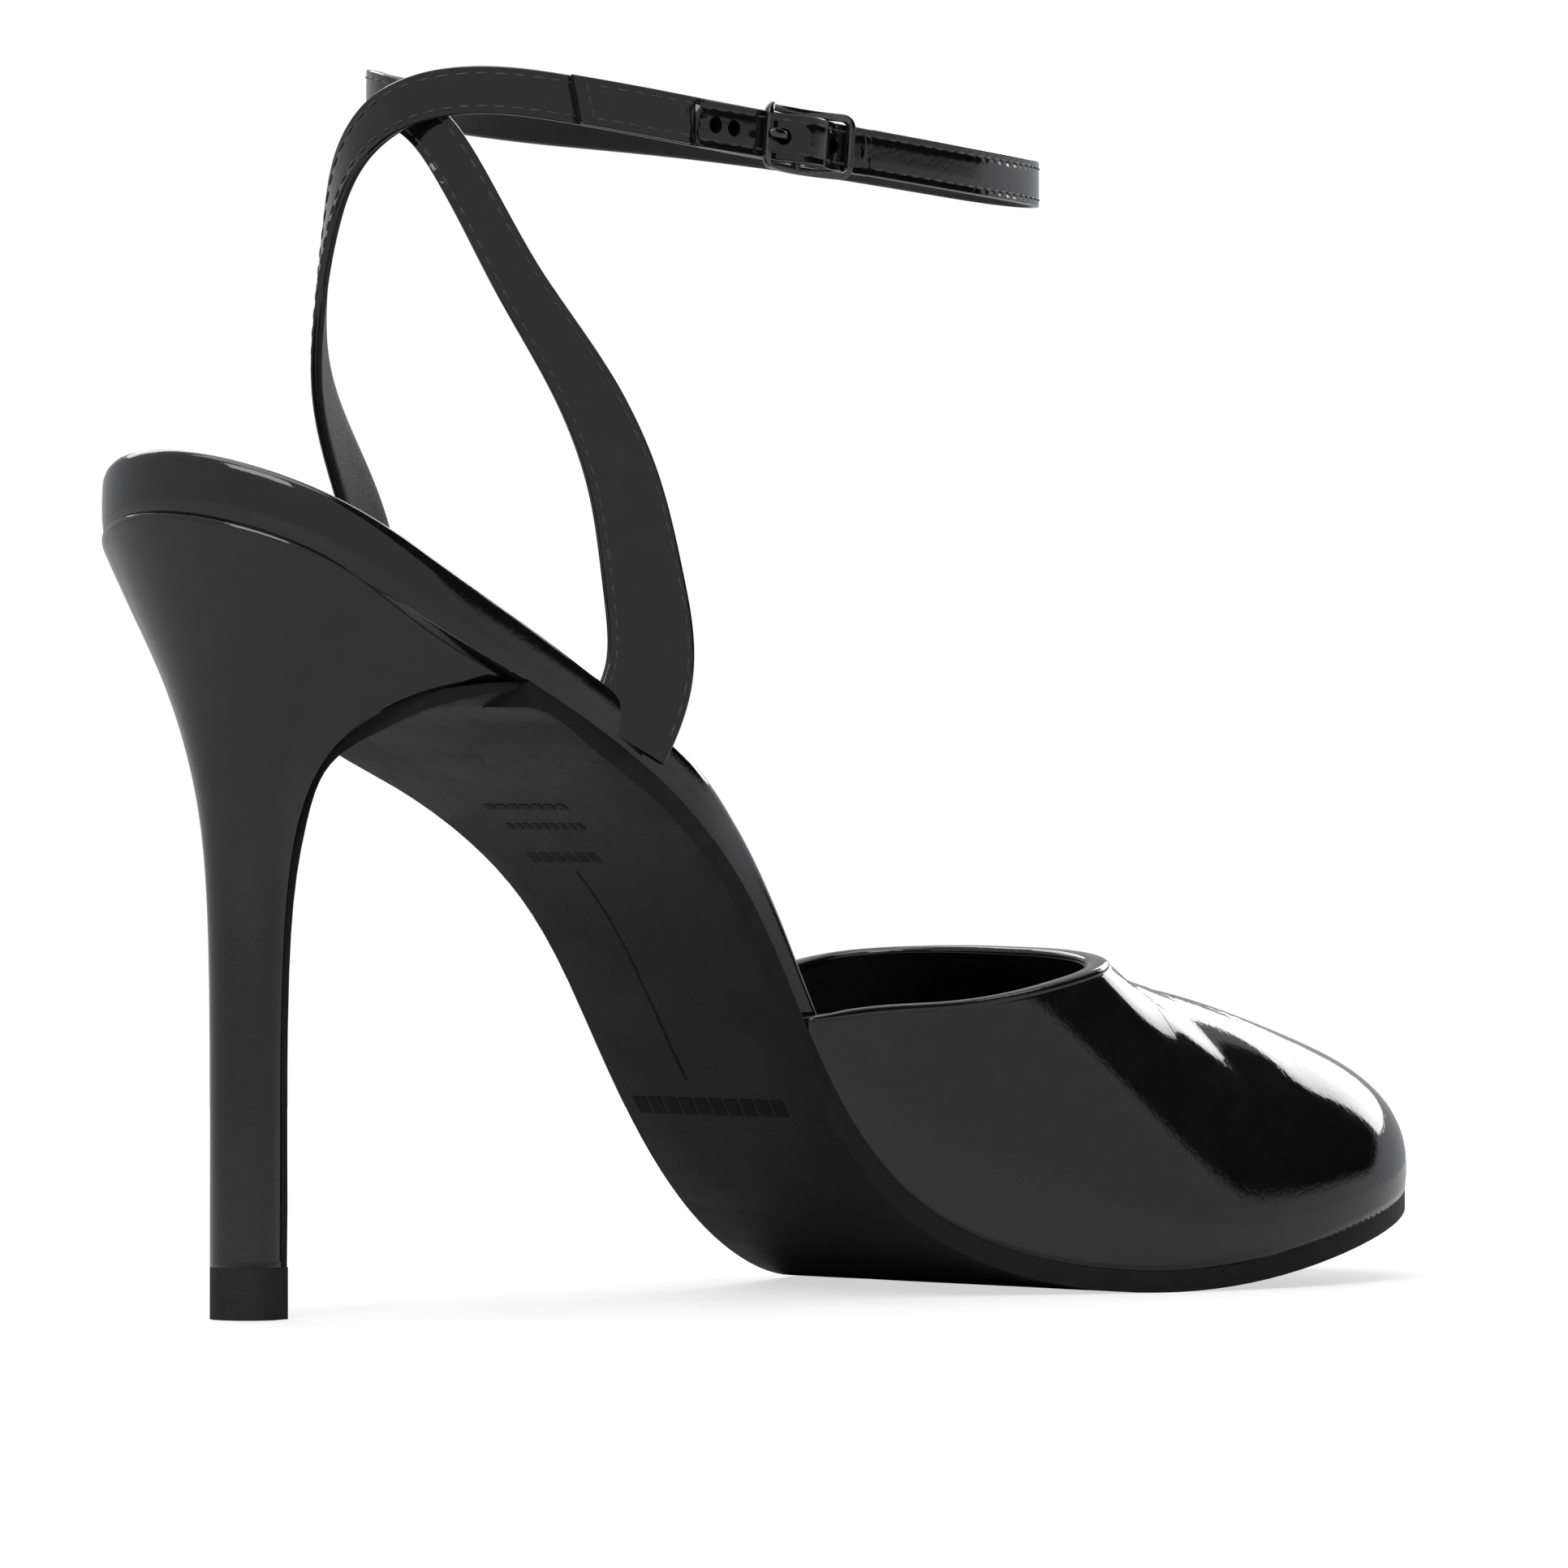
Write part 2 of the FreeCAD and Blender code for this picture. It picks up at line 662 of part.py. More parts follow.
# ---------------------------------------------------------------- vamp
VAMP_STATIONS = [70.0, 76.0, 82.0, 88.0, 94.0, 100.0, 107.0, 115.0, 124.0, 133.0, 142.0, 151.0,
                 160.0, 168.0, 175.0, 181.0, 185.5, 188.4, 190.0]
crest_line = curve_through([(from_drawn(x), 0.0, seat_z(from_drawn(x), 0.0) + z)
                            for x, z in CREST])
CREST_BY_X = [(p.x, p.z) for p in crest_line.toShape().discretize(400)]
vamp_bulge = 1.5


def vamp_section(station, inset, base):
    """Points over the foot at a station, from the lateral feather line to the medial one."""
    x = from_drawn(station)
    back = inset * ease((station - 160.0) / 30.0)
    level = seat_z(x - back, base)
    height = read_off(CREST_BY_X, x) - inset - level
    lateral = read_off(LATERAL_WIDTH, x) - inset
    medial = read_off(MEDIAL_WIDTH, x) - inset
    points = []
    for angle in range(0, 181, 15):
        turn = math.radians(angle)
        across = math.copysign(abs(math.cos(turn)) ** 0.72, math.cos(turn))
        if angle == 90:
            across = 0.0
        half = lateral if angle < 90 else medial
        half += vamp_bulge * math.sin(min(turn, math.pi - turn) * 2)
        points.append(Vector(x - back, -half * across,
                             level + height * abs(math.sin(turn)) ** 0.95))
    points[0].z = level
    points[-1].z = level
    return points


def vamp_body(inset, base):
    stations = [VAMP_STATIONS[0] - inset] + VAMP_STATIONS[1:]
    return solid_through([vamp_section(station, inset, base) for station in stations])


def topline_block():
    """Everything above the opening of the vamp."""
    rows = []
    for station, lateral, medial in TOPLINE:
        x = from_drawn(station)
        level = seat_z(x, 0.0)
        rows.append([Vector(x, y, level + lateral + (medial - lateral) * ease((y + 30.0) / 60.0))
                     for y in (-60.0, -40.0, -20.0, 0.0, 20.0, 40.0, 60.0)])
    surface = Part.BSplineSurface()
    surface.interpolate(rows)
    return surface.toShape().extrude(Vector(0, 0, 120))


def upper_room():
    """Everything outside the lining of the vamp, ahead of where the vamp begins."""
    ahead = Part.makeBox(160 * stretch, 2 * reach, 160, Vector(from_drawn(74.0), -reach, -20))
    return ahead.cut(vamp_body(upper_total + glue_gap, insole_low - glue_gap))


def upper_layer(outer_inset, inner_inset, base):
    """One skin of the upper with its margin turned under the insole."""
    skin = vamp_body(outer_inset, base).cut(vamp_body(inner_inset, base + margin_thickness))
    centre = outline_block(lambda x: lasting_margin)
    inner = layer(base - 1.0, base + margin_thickness + 0.5).common(centre)
    return skin.cut([inner, topline_block()])


def make_vamp():
    return tidy(upper_layer(0.0, upper_leather, glue_gap))


puff_start = from_drawn(158.0)
middle_inset = upper_leather + puff_thickness
lining_base = 2 * glue_gap + margin_thickness


def make_vamp_lining():
    return tidy(upper_layer(middle_inset, middle_inset + lining_thickness, lining_base))


def middle_skin():
    """Skin between the vamp and its lining, open underneath."""
    skin = vamp_body(upper_leather, glue_gap + margin_thickness)
    under = layer(0.0, lining_base + glue_gap).common(outline_block(lambda x: middle_inset - 0.2))
    return skin.cut([vamp_body(middle_inset, lining_base), under])


def make_toe_puff():
    back = Part.makeBox(200, 2 * reach, 200, Vector(puff_start - 200, -reach, -20))
    return tidy(middle_skin().cut(back))


def make_vamp_backing():
    """Cloth backing between vamp and lining, behind the toe puff."""
    front = Part.makeBox(200, 2 * reach, 200, Vector(puff_start - 0.2, -reach, -20))
    return tidy(middle_skin().cut([front, topline_block()]))


# ---------------------------------------------------------------- straps and buckle
foot_x = from_drawn(strap_foot_x)
foot_level = seat_z(foot_x, strap_foot_height)
ankle_centre = Vector(foot_x + ankle_ahead, 0, 0)
buckle_centre = Vector(foot_x + buckle_ahead, buckle_aside, foot_level + buckle_above)


def strap_points(path, width_table, side):
    """A strap's drawn points in place, its foot moved out or in with the outline."""
    shift = side * (read_off(width_table, foot_x) - strap_foot_inset) - path[0][1]
    return [Vector(foot_x + x, y + shift * (1 - ease(z / strap_foot_blend)), foot_level + z)
            for x, y, z in path]


def buckle_axes():
    """Directions along the strap, out from the ankle and across the strap."""
    run = Vector(strap_run).normalize()
    out = Vector(0, -1, 0)
    out = (out - run * out.dot(run)).normalize()
    return run, out, run.cross(out) * -1


def at_buckle(along_strap, out_by, across=0.0):
    run, out, over = buckle_axes()
    return buckle_centre + run * along_strap + out * out_by + over * across


def ellipse_normal(point):
    """Level direction out from the ankle at a point."""
    away = point - ankle_centre
    return Vector(away.x / ankle_half_length ** 2, away.y / ankle_half_width ** 2, 0)


def strap_stations(path, spacing):
    """Points along a strap with the directions out from the ankle and across the strap."""
    curve = curve_through(path)
    count = int(curve.length() / spacing) + 1
    edge = curve.toShape()
    stations = []
    for i in range(count + 1):
        u = edge.getParameterByLength(edge.Length * i / count)
        point = curve.value(u)
        run = curve.tangent(u)[0]
        out = ellipse_normal(point)
        out = (out - run * out.dot(run)).normalize()
        stations.append((point, out, run.cross(out), edge.Length * i / count))
    return stations


def ribbon(stations, low, high, half_width_at):
    """Flat strap between two distances out from its middle surface."""
    lengths = [length for point, out, over, length in stations]
    rails = []
    for out_by, side in ((low, -1), (low, 1), (high, 1), (high, -1)):
        points = [point + out * out_by + over * (side * half_width_at(length))
                  for point, out, over, length in stations]
        rail = Part.BSplineCurve()
        rail.interpolate(Points=points, Parameters=lengths)
        rails.append(rail)
    faces = [straight_across(rails[i], rails[(i + 1) % 4]).toShape() for i in range(4)]
    for ring in ([rail.StartPoint for rail in rails], [rail.EndPoint for rail in rails]):
        faces.append(Part.Face(Part.makePolygon(ring + ring[:1])))
    return solid_from(faces)


def strap_half_width_at(length):
    """Wide where it leaves the sole, narrowing to the ankle."""
    narrowing = ease(length / 75.0)
    return strap_base_half_width + (strap_half_width - strap_base_half_width) * narrowing


def medial_path():
    """Middle of the medial strap, ending in the loop round the centre bar."""
    loop = 0.3 - (bar_radius + bar_clearance + eye_wall)
    return strap_points(MEDIAL_STRAP, MEDIAL_WIDTH, 1) + [
        at_buckle(-frame_reach, strap_rest - strap_lap), at_buckle(-3.0, loop + 0.2),
        at_buckle(-0.6, loop)]


def threading():
    """Lateral strap through the buckle: over the loop and under both end bars."""
    over_loop = bar_radius + bar_clearance + eye_wall + strap_total / 2 + 0.05
    places = [(16.0, 0.3), (10.5, 0.1), (frame_reach, 0.2), (4.0, over_loop / 2),
              (1.5, over_loop), (-1.5, over_loop), (-4.2, over_loop / 2),
              (-frame_reach, strap_rest), (-10.5, strap_rest)]
    return [at_buckle(along_strap, out_by) for along_strap, out_by in places]


def free_end():
    """Free end of the lateral strap, lying outside the medial strap."""
    points = []
    for point in strap_points(MEDIAL_STRAP, MEDIAL_WIDTH, 1)[:-4:-1]:
        points.append(point + ellipse_normal(point).normalize() * strap_lap)
    return points


def lateral_path():
    return strap_points(LATERAL_STRAP, LATERAL_WIDTH, -1) + threading() + free_end()


def strap_skin(path, low, high):
    return ribbon(strap_stations(path, 3.0), low, high, strap_half_width_at)


middle_low = -strap_total / 2
middle_high = strap_total / 2
join_level = middle_low + strap_lining


def strap_slots():
    """Room for the feet of both straps in the edge of the sole."""
    slots = []
    for path in (medial_path(), lateral_path()):
        foot = [station for station in strap_stations(path, 3.0) if station[3] < 26.0]
        slots.append(ribbon(foot, middle_low - glue_gap, middle_high + glue_gap,
                            lambda length: strap_half_width_at(length) + 0.1))
    return slots


def strap_eye():
    """Loop of strap leather round the centre bar, slotted for the prong."""
    half = strap_half_width
    return cylinder(bar_radius + bar_clearance + eye_wall, at_buckle(0, 0, -half),
                    at_buckle(0, 0, half))


def eye_cuts():
    half = strap_half_width + 1.0
    bore = cylinder(bar_radius + bar_clearance, at_buckle(0, 0, -half), at_buckle(0, 0, half))
    slot = buckle_box(-2.6, 3.0, -3.0, 3.0, -prong_slot / 2, prong_slot / 2)
    return [bore, slot]


def buckle_box(run_low, run_high, out_low, out_high, over_low, over_high):
    """Box set out along the axes of the buckle."""
    ring = [at_buckle(run_low, out_low, over_low), at_buckle(run_high, out_low, over_low),
            at_buckle(run_high, out_high, over_low), at_buckle(run_low, out_high, over_low)]
    run, out, over = buckle_axes()
    return Part.Face(Part.makePolygon(ring + ring[:1])).extrude(over * (over_high - over_low))


def make_medial_strap():
    skin = strap_skin(medial_path(), join_level + glue_gap, middle_high)
    return tidy(skin.fuse(strap_eye()).cut(eye_cuts()))


def make_medial_strap_lining():
    skin = strap_skin(medial_path()[:-1], middle_low, join_level)
    return tidy(skin.cut([strap_eye()] + eye_cuts()))


def hole_rods():
    """Punched holes along the lateral strap, one of them over the prong."""
    path = lateral_path()
    stations = strap_stations(path, 0.5)
    over_bar = at_buckle(0, bar_radius + bar_clearance + eye_wall + strap_total / 2)
    bar = min(stations, key=lambda station: (station[0] - over_bar).Length)[3]
    rods = []
    for count in (-2, -1, 0, 1, 2):
        wanted = bar - prong_hole_offset - count * hole_pitch
        point, out, over, length = min(stations, key=lambda station: abs(station[3] - wanted))
        rods.append(cylinder(hole_radius, point - out * 1.6, point + out * 1.6))
    return rods


def slant_cut():
    """Cuts the free end of the strap on a slant."""
    tip = free_end()[-1]
    ring = [tip + Vector(-12, 0, -9), tip + Vector(end_trim + end_slant, 0, -9),
            tip + Vector(end_trim - end_slant, 0, 9), tip + Vector(-12, 0, 9)]
    face = Part.Face(Part.makePolygon(ring + ring[:1]))
    face.translate(Vector(0, -12, 0))
    return face.extrude(Vector(0, 24, 0))


def lateral_skin(low, high):
    return tidy(strap_skin(lateral_path(), low, high).cut(hole_rods() + [slant_cut()]))


def make_lateral_strap():
    return lateral_skin(join_level + glue_gap, middle_high)


def make_lateral_strap_lining():
    return lateral_skin(middle_low, join_level)


def make_buckle_frame():
    """Rectangular frame bowed out from its centre bar."""
    half = strap_half_width + frame_side_clearance
    ends = frame_reach + frame_section / 2
    low = -frame_section / 2

    def bow(out_by):
        return Part.Arc(at_buckle(-ends, frame_rise + out_by, 0), at_buckle(0, out_by, 0),
                        at_buckle(ends, frame_rise + out_by, 0)).toShape()

    lower = bow(low)
    upper = bow(-low)
    first = [edge.Vertexes[0].Point for edge in (lower, upper)]
    last = [edge.Vertexes[-1].Point for edge in (lower, upper)]
    run, out, over = buckle_axes()
    profile = Part.Face(Part.Wire([lower, line(last[0], last[1]), upper,
                                   line(first[1], first[0])]))
    width = half + frame_section
    profile.translate(over * -width)
    plate = profile.extrude(over * (2 * width))
    window = buckle_box(-frame_reach + frame_section / 2, frame_reach - frame_section / 2,
                        -4, 6, -half, half)
    frame = plate.cut(window)
    bar = cylinder(bar_radius, at_buckle(0, 0, -half - 0.3), at_buckle(0, 0, half + 0.3))
    return tidy(frame.fuse(bar))


def make_buckle_prong():
    """Tongue that turns on the centre bar, through the strap and over the front bar."""
    top = frame_rise + (frame_section + prong_thickness) / 2
    points = [(0.9, 0.42), (2.4, 0.42), (3.5, 0.75), (4.0, 0.48 * top), (4.5, 0.76 * top),
              (5.4, 0.97 * top), (frame_reach, top + 0.05), (frame_reach + 0.9, top)]
    middle = curve_through([(s, n, 0.0) for s, n in points])
    half = prong_thickness / 2
    rails = []
    for side in (-half, half):
        rail = []
        for i in range(15):
            u = middle.FirstParameter + (middle.LastParameter - middle.FirstParameter) * i / 14
            run = middle.tangent(u)[0]
            spot = middle.value(u) + Vector(-run.y, run.x, 0) * side
            rail.append(at_buckle(spot.x, spot.y, -prong_width / 2))
        rails.append(curve_through(rail))
    run, out, over = buckle_axes()
    face = Part.Face(Part.Wire([rails[0].toShape(), line(rails[0].EndPoint, rails[1].EndPoint),
                                rails[1].toShape(),
                                line(rails[1].StartPoint, rails[0].StartPoint)]))
    shaft = face.extrude(over * prong_width)
    ring_from = at_buckle(0, 0, -prong_width / 2)
    ring_to = at_buckle(0, 0, prong_width / 2)
    ring = cylinder(bar_radius + bar_clearance + 0.5, ring_from, ring_to)
    bore = cylinder(bar_radius + bar_clearance, ring_from, ring_to)
    return tidy(shaft.fuse(ring).cut(bore))


# ---------------------------------------------------------------- parts
NODES = {
    "outsole": make_outsole,
    "forepart_filler": make_filler,
    "shank_board": make_shank_board,
    "steel_shank": make_steel_shank,
    "shank_rivets": make_shank_rivets,
    "insole_board": make_insole_board,
    "foam_pad": make_foam_pad,
    "rim_cover": make_rim_cover,
    "sock_lining": make_sock_lining,
    "heel_core": make_heel_core,
    "heel_cover": make_heel_cover,
    "heel_dowel": make_heel_dowel,
    "heel_screw": make_heel_screw,
    "heel_nails": make_heel_nails,
    "top_piece": make_top_piece,
    "top_piece_pin": lambda: pin(0.0),
    "vamp": make_vamp,
    "vamp_backing": make_vamp_backing,
    "toe_puff": make_toe_puff,
    "vamp_lining": make_vamp_lining,
    "medial_strap": make_medial_strap,
    "medial_strap_lining": make_medial_strap_lining,
    "lateral_strap": make_lateral_strap,
    "lateral_strap_lining": make_lateral_strap_lining,
    "buckle_frame": make_buckle_frame,
    "buckle_prong": make_buckle_prong,
}

os.makedirs("parts", exist_ok=True)
for name, make in NODES.items():
    shape = make()
    print(name, "solids", len(shape.Solids), "valid", shape.isValid(),
          "volume", round(shape.Volume, 2))
    shape.exportStep(os.path.join("parts", name + ".step"))
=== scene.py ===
"""High heel pump with crossed ankle straps: a right shoe, size 37, in black patent leather.

The frame's origin is under the heel tip, +X runs to the toe and -Y is the lateral side.
Drawn shapes are in millimetres and go through MM when they are set in place.
"""
import json
import math

import bmesh
import bpy
import numpy as np
from mathutils import Matrix, Vector


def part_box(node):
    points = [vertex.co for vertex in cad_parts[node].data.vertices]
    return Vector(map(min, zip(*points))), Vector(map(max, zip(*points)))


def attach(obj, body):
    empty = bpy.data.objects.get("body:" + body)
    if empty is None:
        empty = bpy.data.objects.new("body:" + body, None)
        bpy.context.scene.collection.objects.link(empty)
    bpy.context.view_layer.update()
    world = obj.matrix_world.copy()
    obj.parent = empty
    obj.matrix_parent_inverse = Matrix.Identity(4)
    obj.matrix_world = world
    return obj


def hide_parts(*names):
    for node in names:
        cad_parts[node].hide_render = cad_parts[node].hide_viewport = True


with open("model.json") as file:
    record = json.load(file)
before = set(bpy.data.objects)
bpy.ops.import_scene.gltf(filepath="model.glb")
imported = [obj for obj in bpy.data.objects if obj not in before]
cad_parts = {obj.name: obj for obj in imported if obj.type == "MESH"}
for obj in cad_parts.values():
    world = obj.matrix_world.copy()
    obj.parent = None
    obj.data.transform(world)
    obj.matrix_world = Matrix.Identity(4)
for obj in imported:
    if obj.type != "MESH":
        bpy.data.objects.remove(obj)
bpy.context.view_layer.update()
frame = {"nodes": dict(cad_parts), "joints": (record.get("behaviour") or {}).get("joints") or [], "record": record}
nodes = frame["nodes"]
joint = frame["joints"][0]
MM = 0.001


def node_box(name):
    """Lowest and highest corner of a CAD node in millimetres."""
    low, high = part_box(name)
    return low / MM, high / MM


# ---------------------------------------------------------------- sizes, in millimetres
sole_low, sole_high = node_box("outsole")
tip_top = node_box("top_piece")[1].z
sole_back = node_box("rim_cover")[0].x
sole_length = sole_high.x - sole_back
ball_width = -2 * sole_low.y
seat_height = 99.6
outsole_thickness = 2.8
rim_top = 5.74              # top of the rim above the feather line
rim_round = 1.5
rim_end = 84.0              # place where the rim ends, hidden in the vamp
sock_setback = 1.5
sock_crown = 1.5
seat_fullness = 1.7         # more height of the padding at the heel seat
upper_total = 2.8           # vamp, backing and lining together
vamp_thickness = 1.15
vamp_bulge = 1.5
strap_lining = 0.6
strap_half_width = 3.0
strap_base_half_width = 6.2
hole_radius = 1.05
hole_pitch = 8.6
prong_hole_offset = 4.0
frame_reach = 7.0
frame_section = 1.0
frame_half_width = 3.7      # middle of the side rails
frame_rise = 2.6
bar_radius = 0.6
prong_above_frame = 0.9     # middle of the prong's tip over the middle of the end bar
prong_half_width = 0.54
stitch_pitch = 2.3
stitch_length = 1.65
stitch_radius = 0.17
stitch_inset = 0.95         # row of stitches in from the edge of a strap

# Feather line from the side, outline from above, as in the CAD model
SEAT_LINE = [(0.0, 1.0), (0.052, 0.941), (0.116, 0.862), (0.184, 0.793), (0.252, 0.727),
             (0.310, 0.663), (0.359, 0.590), (0.398, 0.504), (0.429, 0.403), (0.458, 0.294),
             (0.490, 0.194), (0.531, 0.107), (0.587, 0.041), (0.645, 0.008), (0.705, 0.0),
             (0.785, 0.017), (0.863, 0.050), (0.935, 0.085), (1.0, 0.118)]
OUTLINE = [(0.010, 0.132, 0.132), (0.040, 0.243, 0.243), (0.090, 0.316, 0.316),
           (0.150, 0.342, 0.336), (0.210, 0.342, 0.329), (0.290, 0.316, 0.296),
           (0.380, 0.283, 0.243), (0.470, 0.276, 0.224), (0.560, 0.316, 0.270),
           (0.650, 0.408, 0.368), (0.720, 0.474, 0.447), (0.800, 0.500, 0.487),
           (0.870, 0.480, 0.487), (0.920, 0.434, 0.453), (0.960, 0.360, 0.388),
           (0.985, 0.268, 0.272)]
BREAST = [(1.0, 6.5), (1.05, 25.0), (1.2, 42.0), (1.8, 54.0), (2.9, 62.8), (5.0, 69.6),
          (8.8, 74.6), (14.3, 77.6)]
breast_top = 23.4
HEEL = [(-4.85, 5.0, 5.0, 5.0, 4.85, 3.9), (-4.85, 18.0, 5.0, 18.0, 4.85, 3.95),
        (-4.85, 31.0, 5.2, 31.0, 4.87, 4.0), (-4.95, 43.5, 5.6, 43.3, 5.05, 4.4),
        (-5.35, 54.5, 6.4, 53.8, 5.5, 5.0), (-6.25, 63.5, 8.0, 61.4, 6.5, 6.3),
        (-7.9, 72.0, 11.0, 67.2, 8.6, 8.8), (-10.4, 81.2, 16.0, 71.6, 12.4, 13.2),
        (-13.7, 91.0, 23.0, 75.2, 18.0, 19.0), (-16.5, 101.5, 31.0, 78.4, 25.2, 25.8)]
CREST = [(72.0, 60.3), (84.0, 69.0), (96.0, 70.6), (107.0, 65.9), (117.0, 58.4), (127.0, 48.7),
         (136.0, 40.6), (144.0, 36.5), (152.0, 33.4), (162.0, 28.6), (172.0, 23.3),
         (179.0, 19.1), (184.0, 15.1), (187.5, 11.2), (190.3, 5.6)]
TOPLINE = [(60.0, -22.8, -22.8), (75.4, -0.5, -0.5), (88.0, 19.0, 19.6), (99.0, 28.0, 29.8),
           (108.5, 33.1, 35.4), (117.0, 36.7, 38.8), (126.0, 39.2, 40.8), (136.0, 40.7, 41.4),
           (150.0, 41.3, 41.3)]
# Soft creases of the vamp seen from above: start, end, depth, half width
CREASES = [((135.0, -5.0), (158.0, -23.0), 0.30, 1.9), ((138.0, 0.5), (163.0, -11.0), 0.24, 1.8),
           ((130.0, -16.0), (149.0, -34.0), 0.22, 2.2), ((138.0, 6.0), (160.0, 15.0), 0.20, 2.0),
           ((132.0, 15.0), (150.0, 31.0), 0.18, 2.2), ((141.0, -16.0), (160.0, -31.0), 0.16, 2.0)]

# Middle of each strap: ahead of its foot, across the shoe, above its foot
MEDIAL_STRAP = [(0.0, 22.9, 0.0), (2.1, 23.5, 8.3), (0.6, 22.4, 18.3), (-4.1, 20.0, 28.3),
                (-9.3, 18.0, 35.7), (-15.7, 15.0, 45.7), (-18.5, 12.0, 54.9),
                (-19.4, 9.0, 65.2), (-20.3, 5.0, 72.5), (-19.6, 0.0, 77.7),
                (-17.0, -6.7, 80.7), (-11.5, -12.4, 81.4), (-3.9, -17.2, 80.5),
                (5.1, -20.9, 79.1), (14.1, -23.3, 77.8)]
LATERAL_STRAP = [(0.0, -24.3, 0.0), (3.7, -24.9, 8.4), (4.0, -23.6, 19.8), (2.6, -21.5, 32.1),
                 (-1.5, -18.5, 44.2), (-8.9, -14.5, 57.5), (-13.9, -9.5, 70.7),
                 (-15.6, -4.4, 77.5), (-15.8, 1.4, 80.5), (-13.2, 8.0, 81.9),
                 (-6.9, 14.2, 82.3), (4.1, 20.0, 82.2), (17.1, 24.0, 81.8), (33.1, 26.0, 81.3),
                 (51.1, 25.8, 80.8), (67.1, 22.4, 79.7), (79.1, 16.4, 78.1), (87.1, 9.0, 76.3),
                 (90.5, 1.0, 74.8), (89.5, -6.0, 74.0), (85.1, -12.4, 73.6),
                 (77.1, -18.0, 73.5), (66.1, -22.6, 73.7), (55.1, -25.2, 74.2)]
# Lateral strap through the buckle: along from the centre bar, out from it
THREADING = [(16.0, 0.3), (10.5, 0.1), (7.0, 0.2), (4.0, 1.1), (1.5, 2.2), (-1.5, 2.2),
             (-4.2, 1.1), (-7.0, 0.4), (-10.5, 0.4)]
strap_lap = 1.55
end_trim = 1.4
end_slant = 0.356           # lean of the cut across the free end
ankle_ahead = 36.4
ankle_half_length = 55.0
ankle_half_width = 26.0
buckle_ahead = 29.1
buckle_above = 76.2
# Rows of plain dashes stamped on the sole: along the shoe, across it, how many, each's length
STAMPS = [(50.0, 2.5, 7, 1.7, 0.55), (53.9, 2.8, 9, 1.1, 0.55), (59.1, 4.7, 6, 1.7, 0.75),
          (81.8, 0.8, 10, 2.3, 0.7)]
STAMPED_LINE = [(61.2, 4.3), (79.6, 2.7)]
numeral_place = (42.6, 0.8)
numeral_size = 7.5
mark_proud = 0.06           # marks outside the surface of the sole


# ---------------------------------------------------------------- camera, light, floor
room_light = 0.42           # brightness of the room that the leather mirrors
painted_floor_glow = 0.62           # painted glow of the floor near the shoe: emission that only the camera sees


def make_camera():
    """Level view from the lateral side, behind the ball of the foot."""
    lens = bpy.data.cameras.new("view_camera")
    lens.lens = 228.92
    lens.sensor_width = 36.0
    lens.clip_start = 0.05
    camera = bpy.data.objects.new("view_camera", lens)
    camera.location = (-0.8108, -0.9351, 0.0663)
    camera.rotation_euler = (math.radians(90.0), 0.0, math.radians(-44.0))
    bpy.context.scene.collection.objects.link(camera)
    bpy.context.scene.camera = camera


def softbox(name, place, target, width, height, power, tint=(1.0, 1.0, 1.0)):
    """Rectangular lamp that faces a point."""
    lamp = bpy.data.lights.new(name, "AREA")
    lamp.shape = "RECTANGLE"
    lamp.size = width
    lamp.size_y = height
    lamp.energy = power
    lamp.color = tint
    holder = bpy.data.objects.new(name, lamp)
    holder.location = place
    holder.rotation_euler = (Vector(target) - Vector(place)).to_track_quat("-Z", "Y").to_euler()
    bpy.context.scene.collection.objects.link(holder)


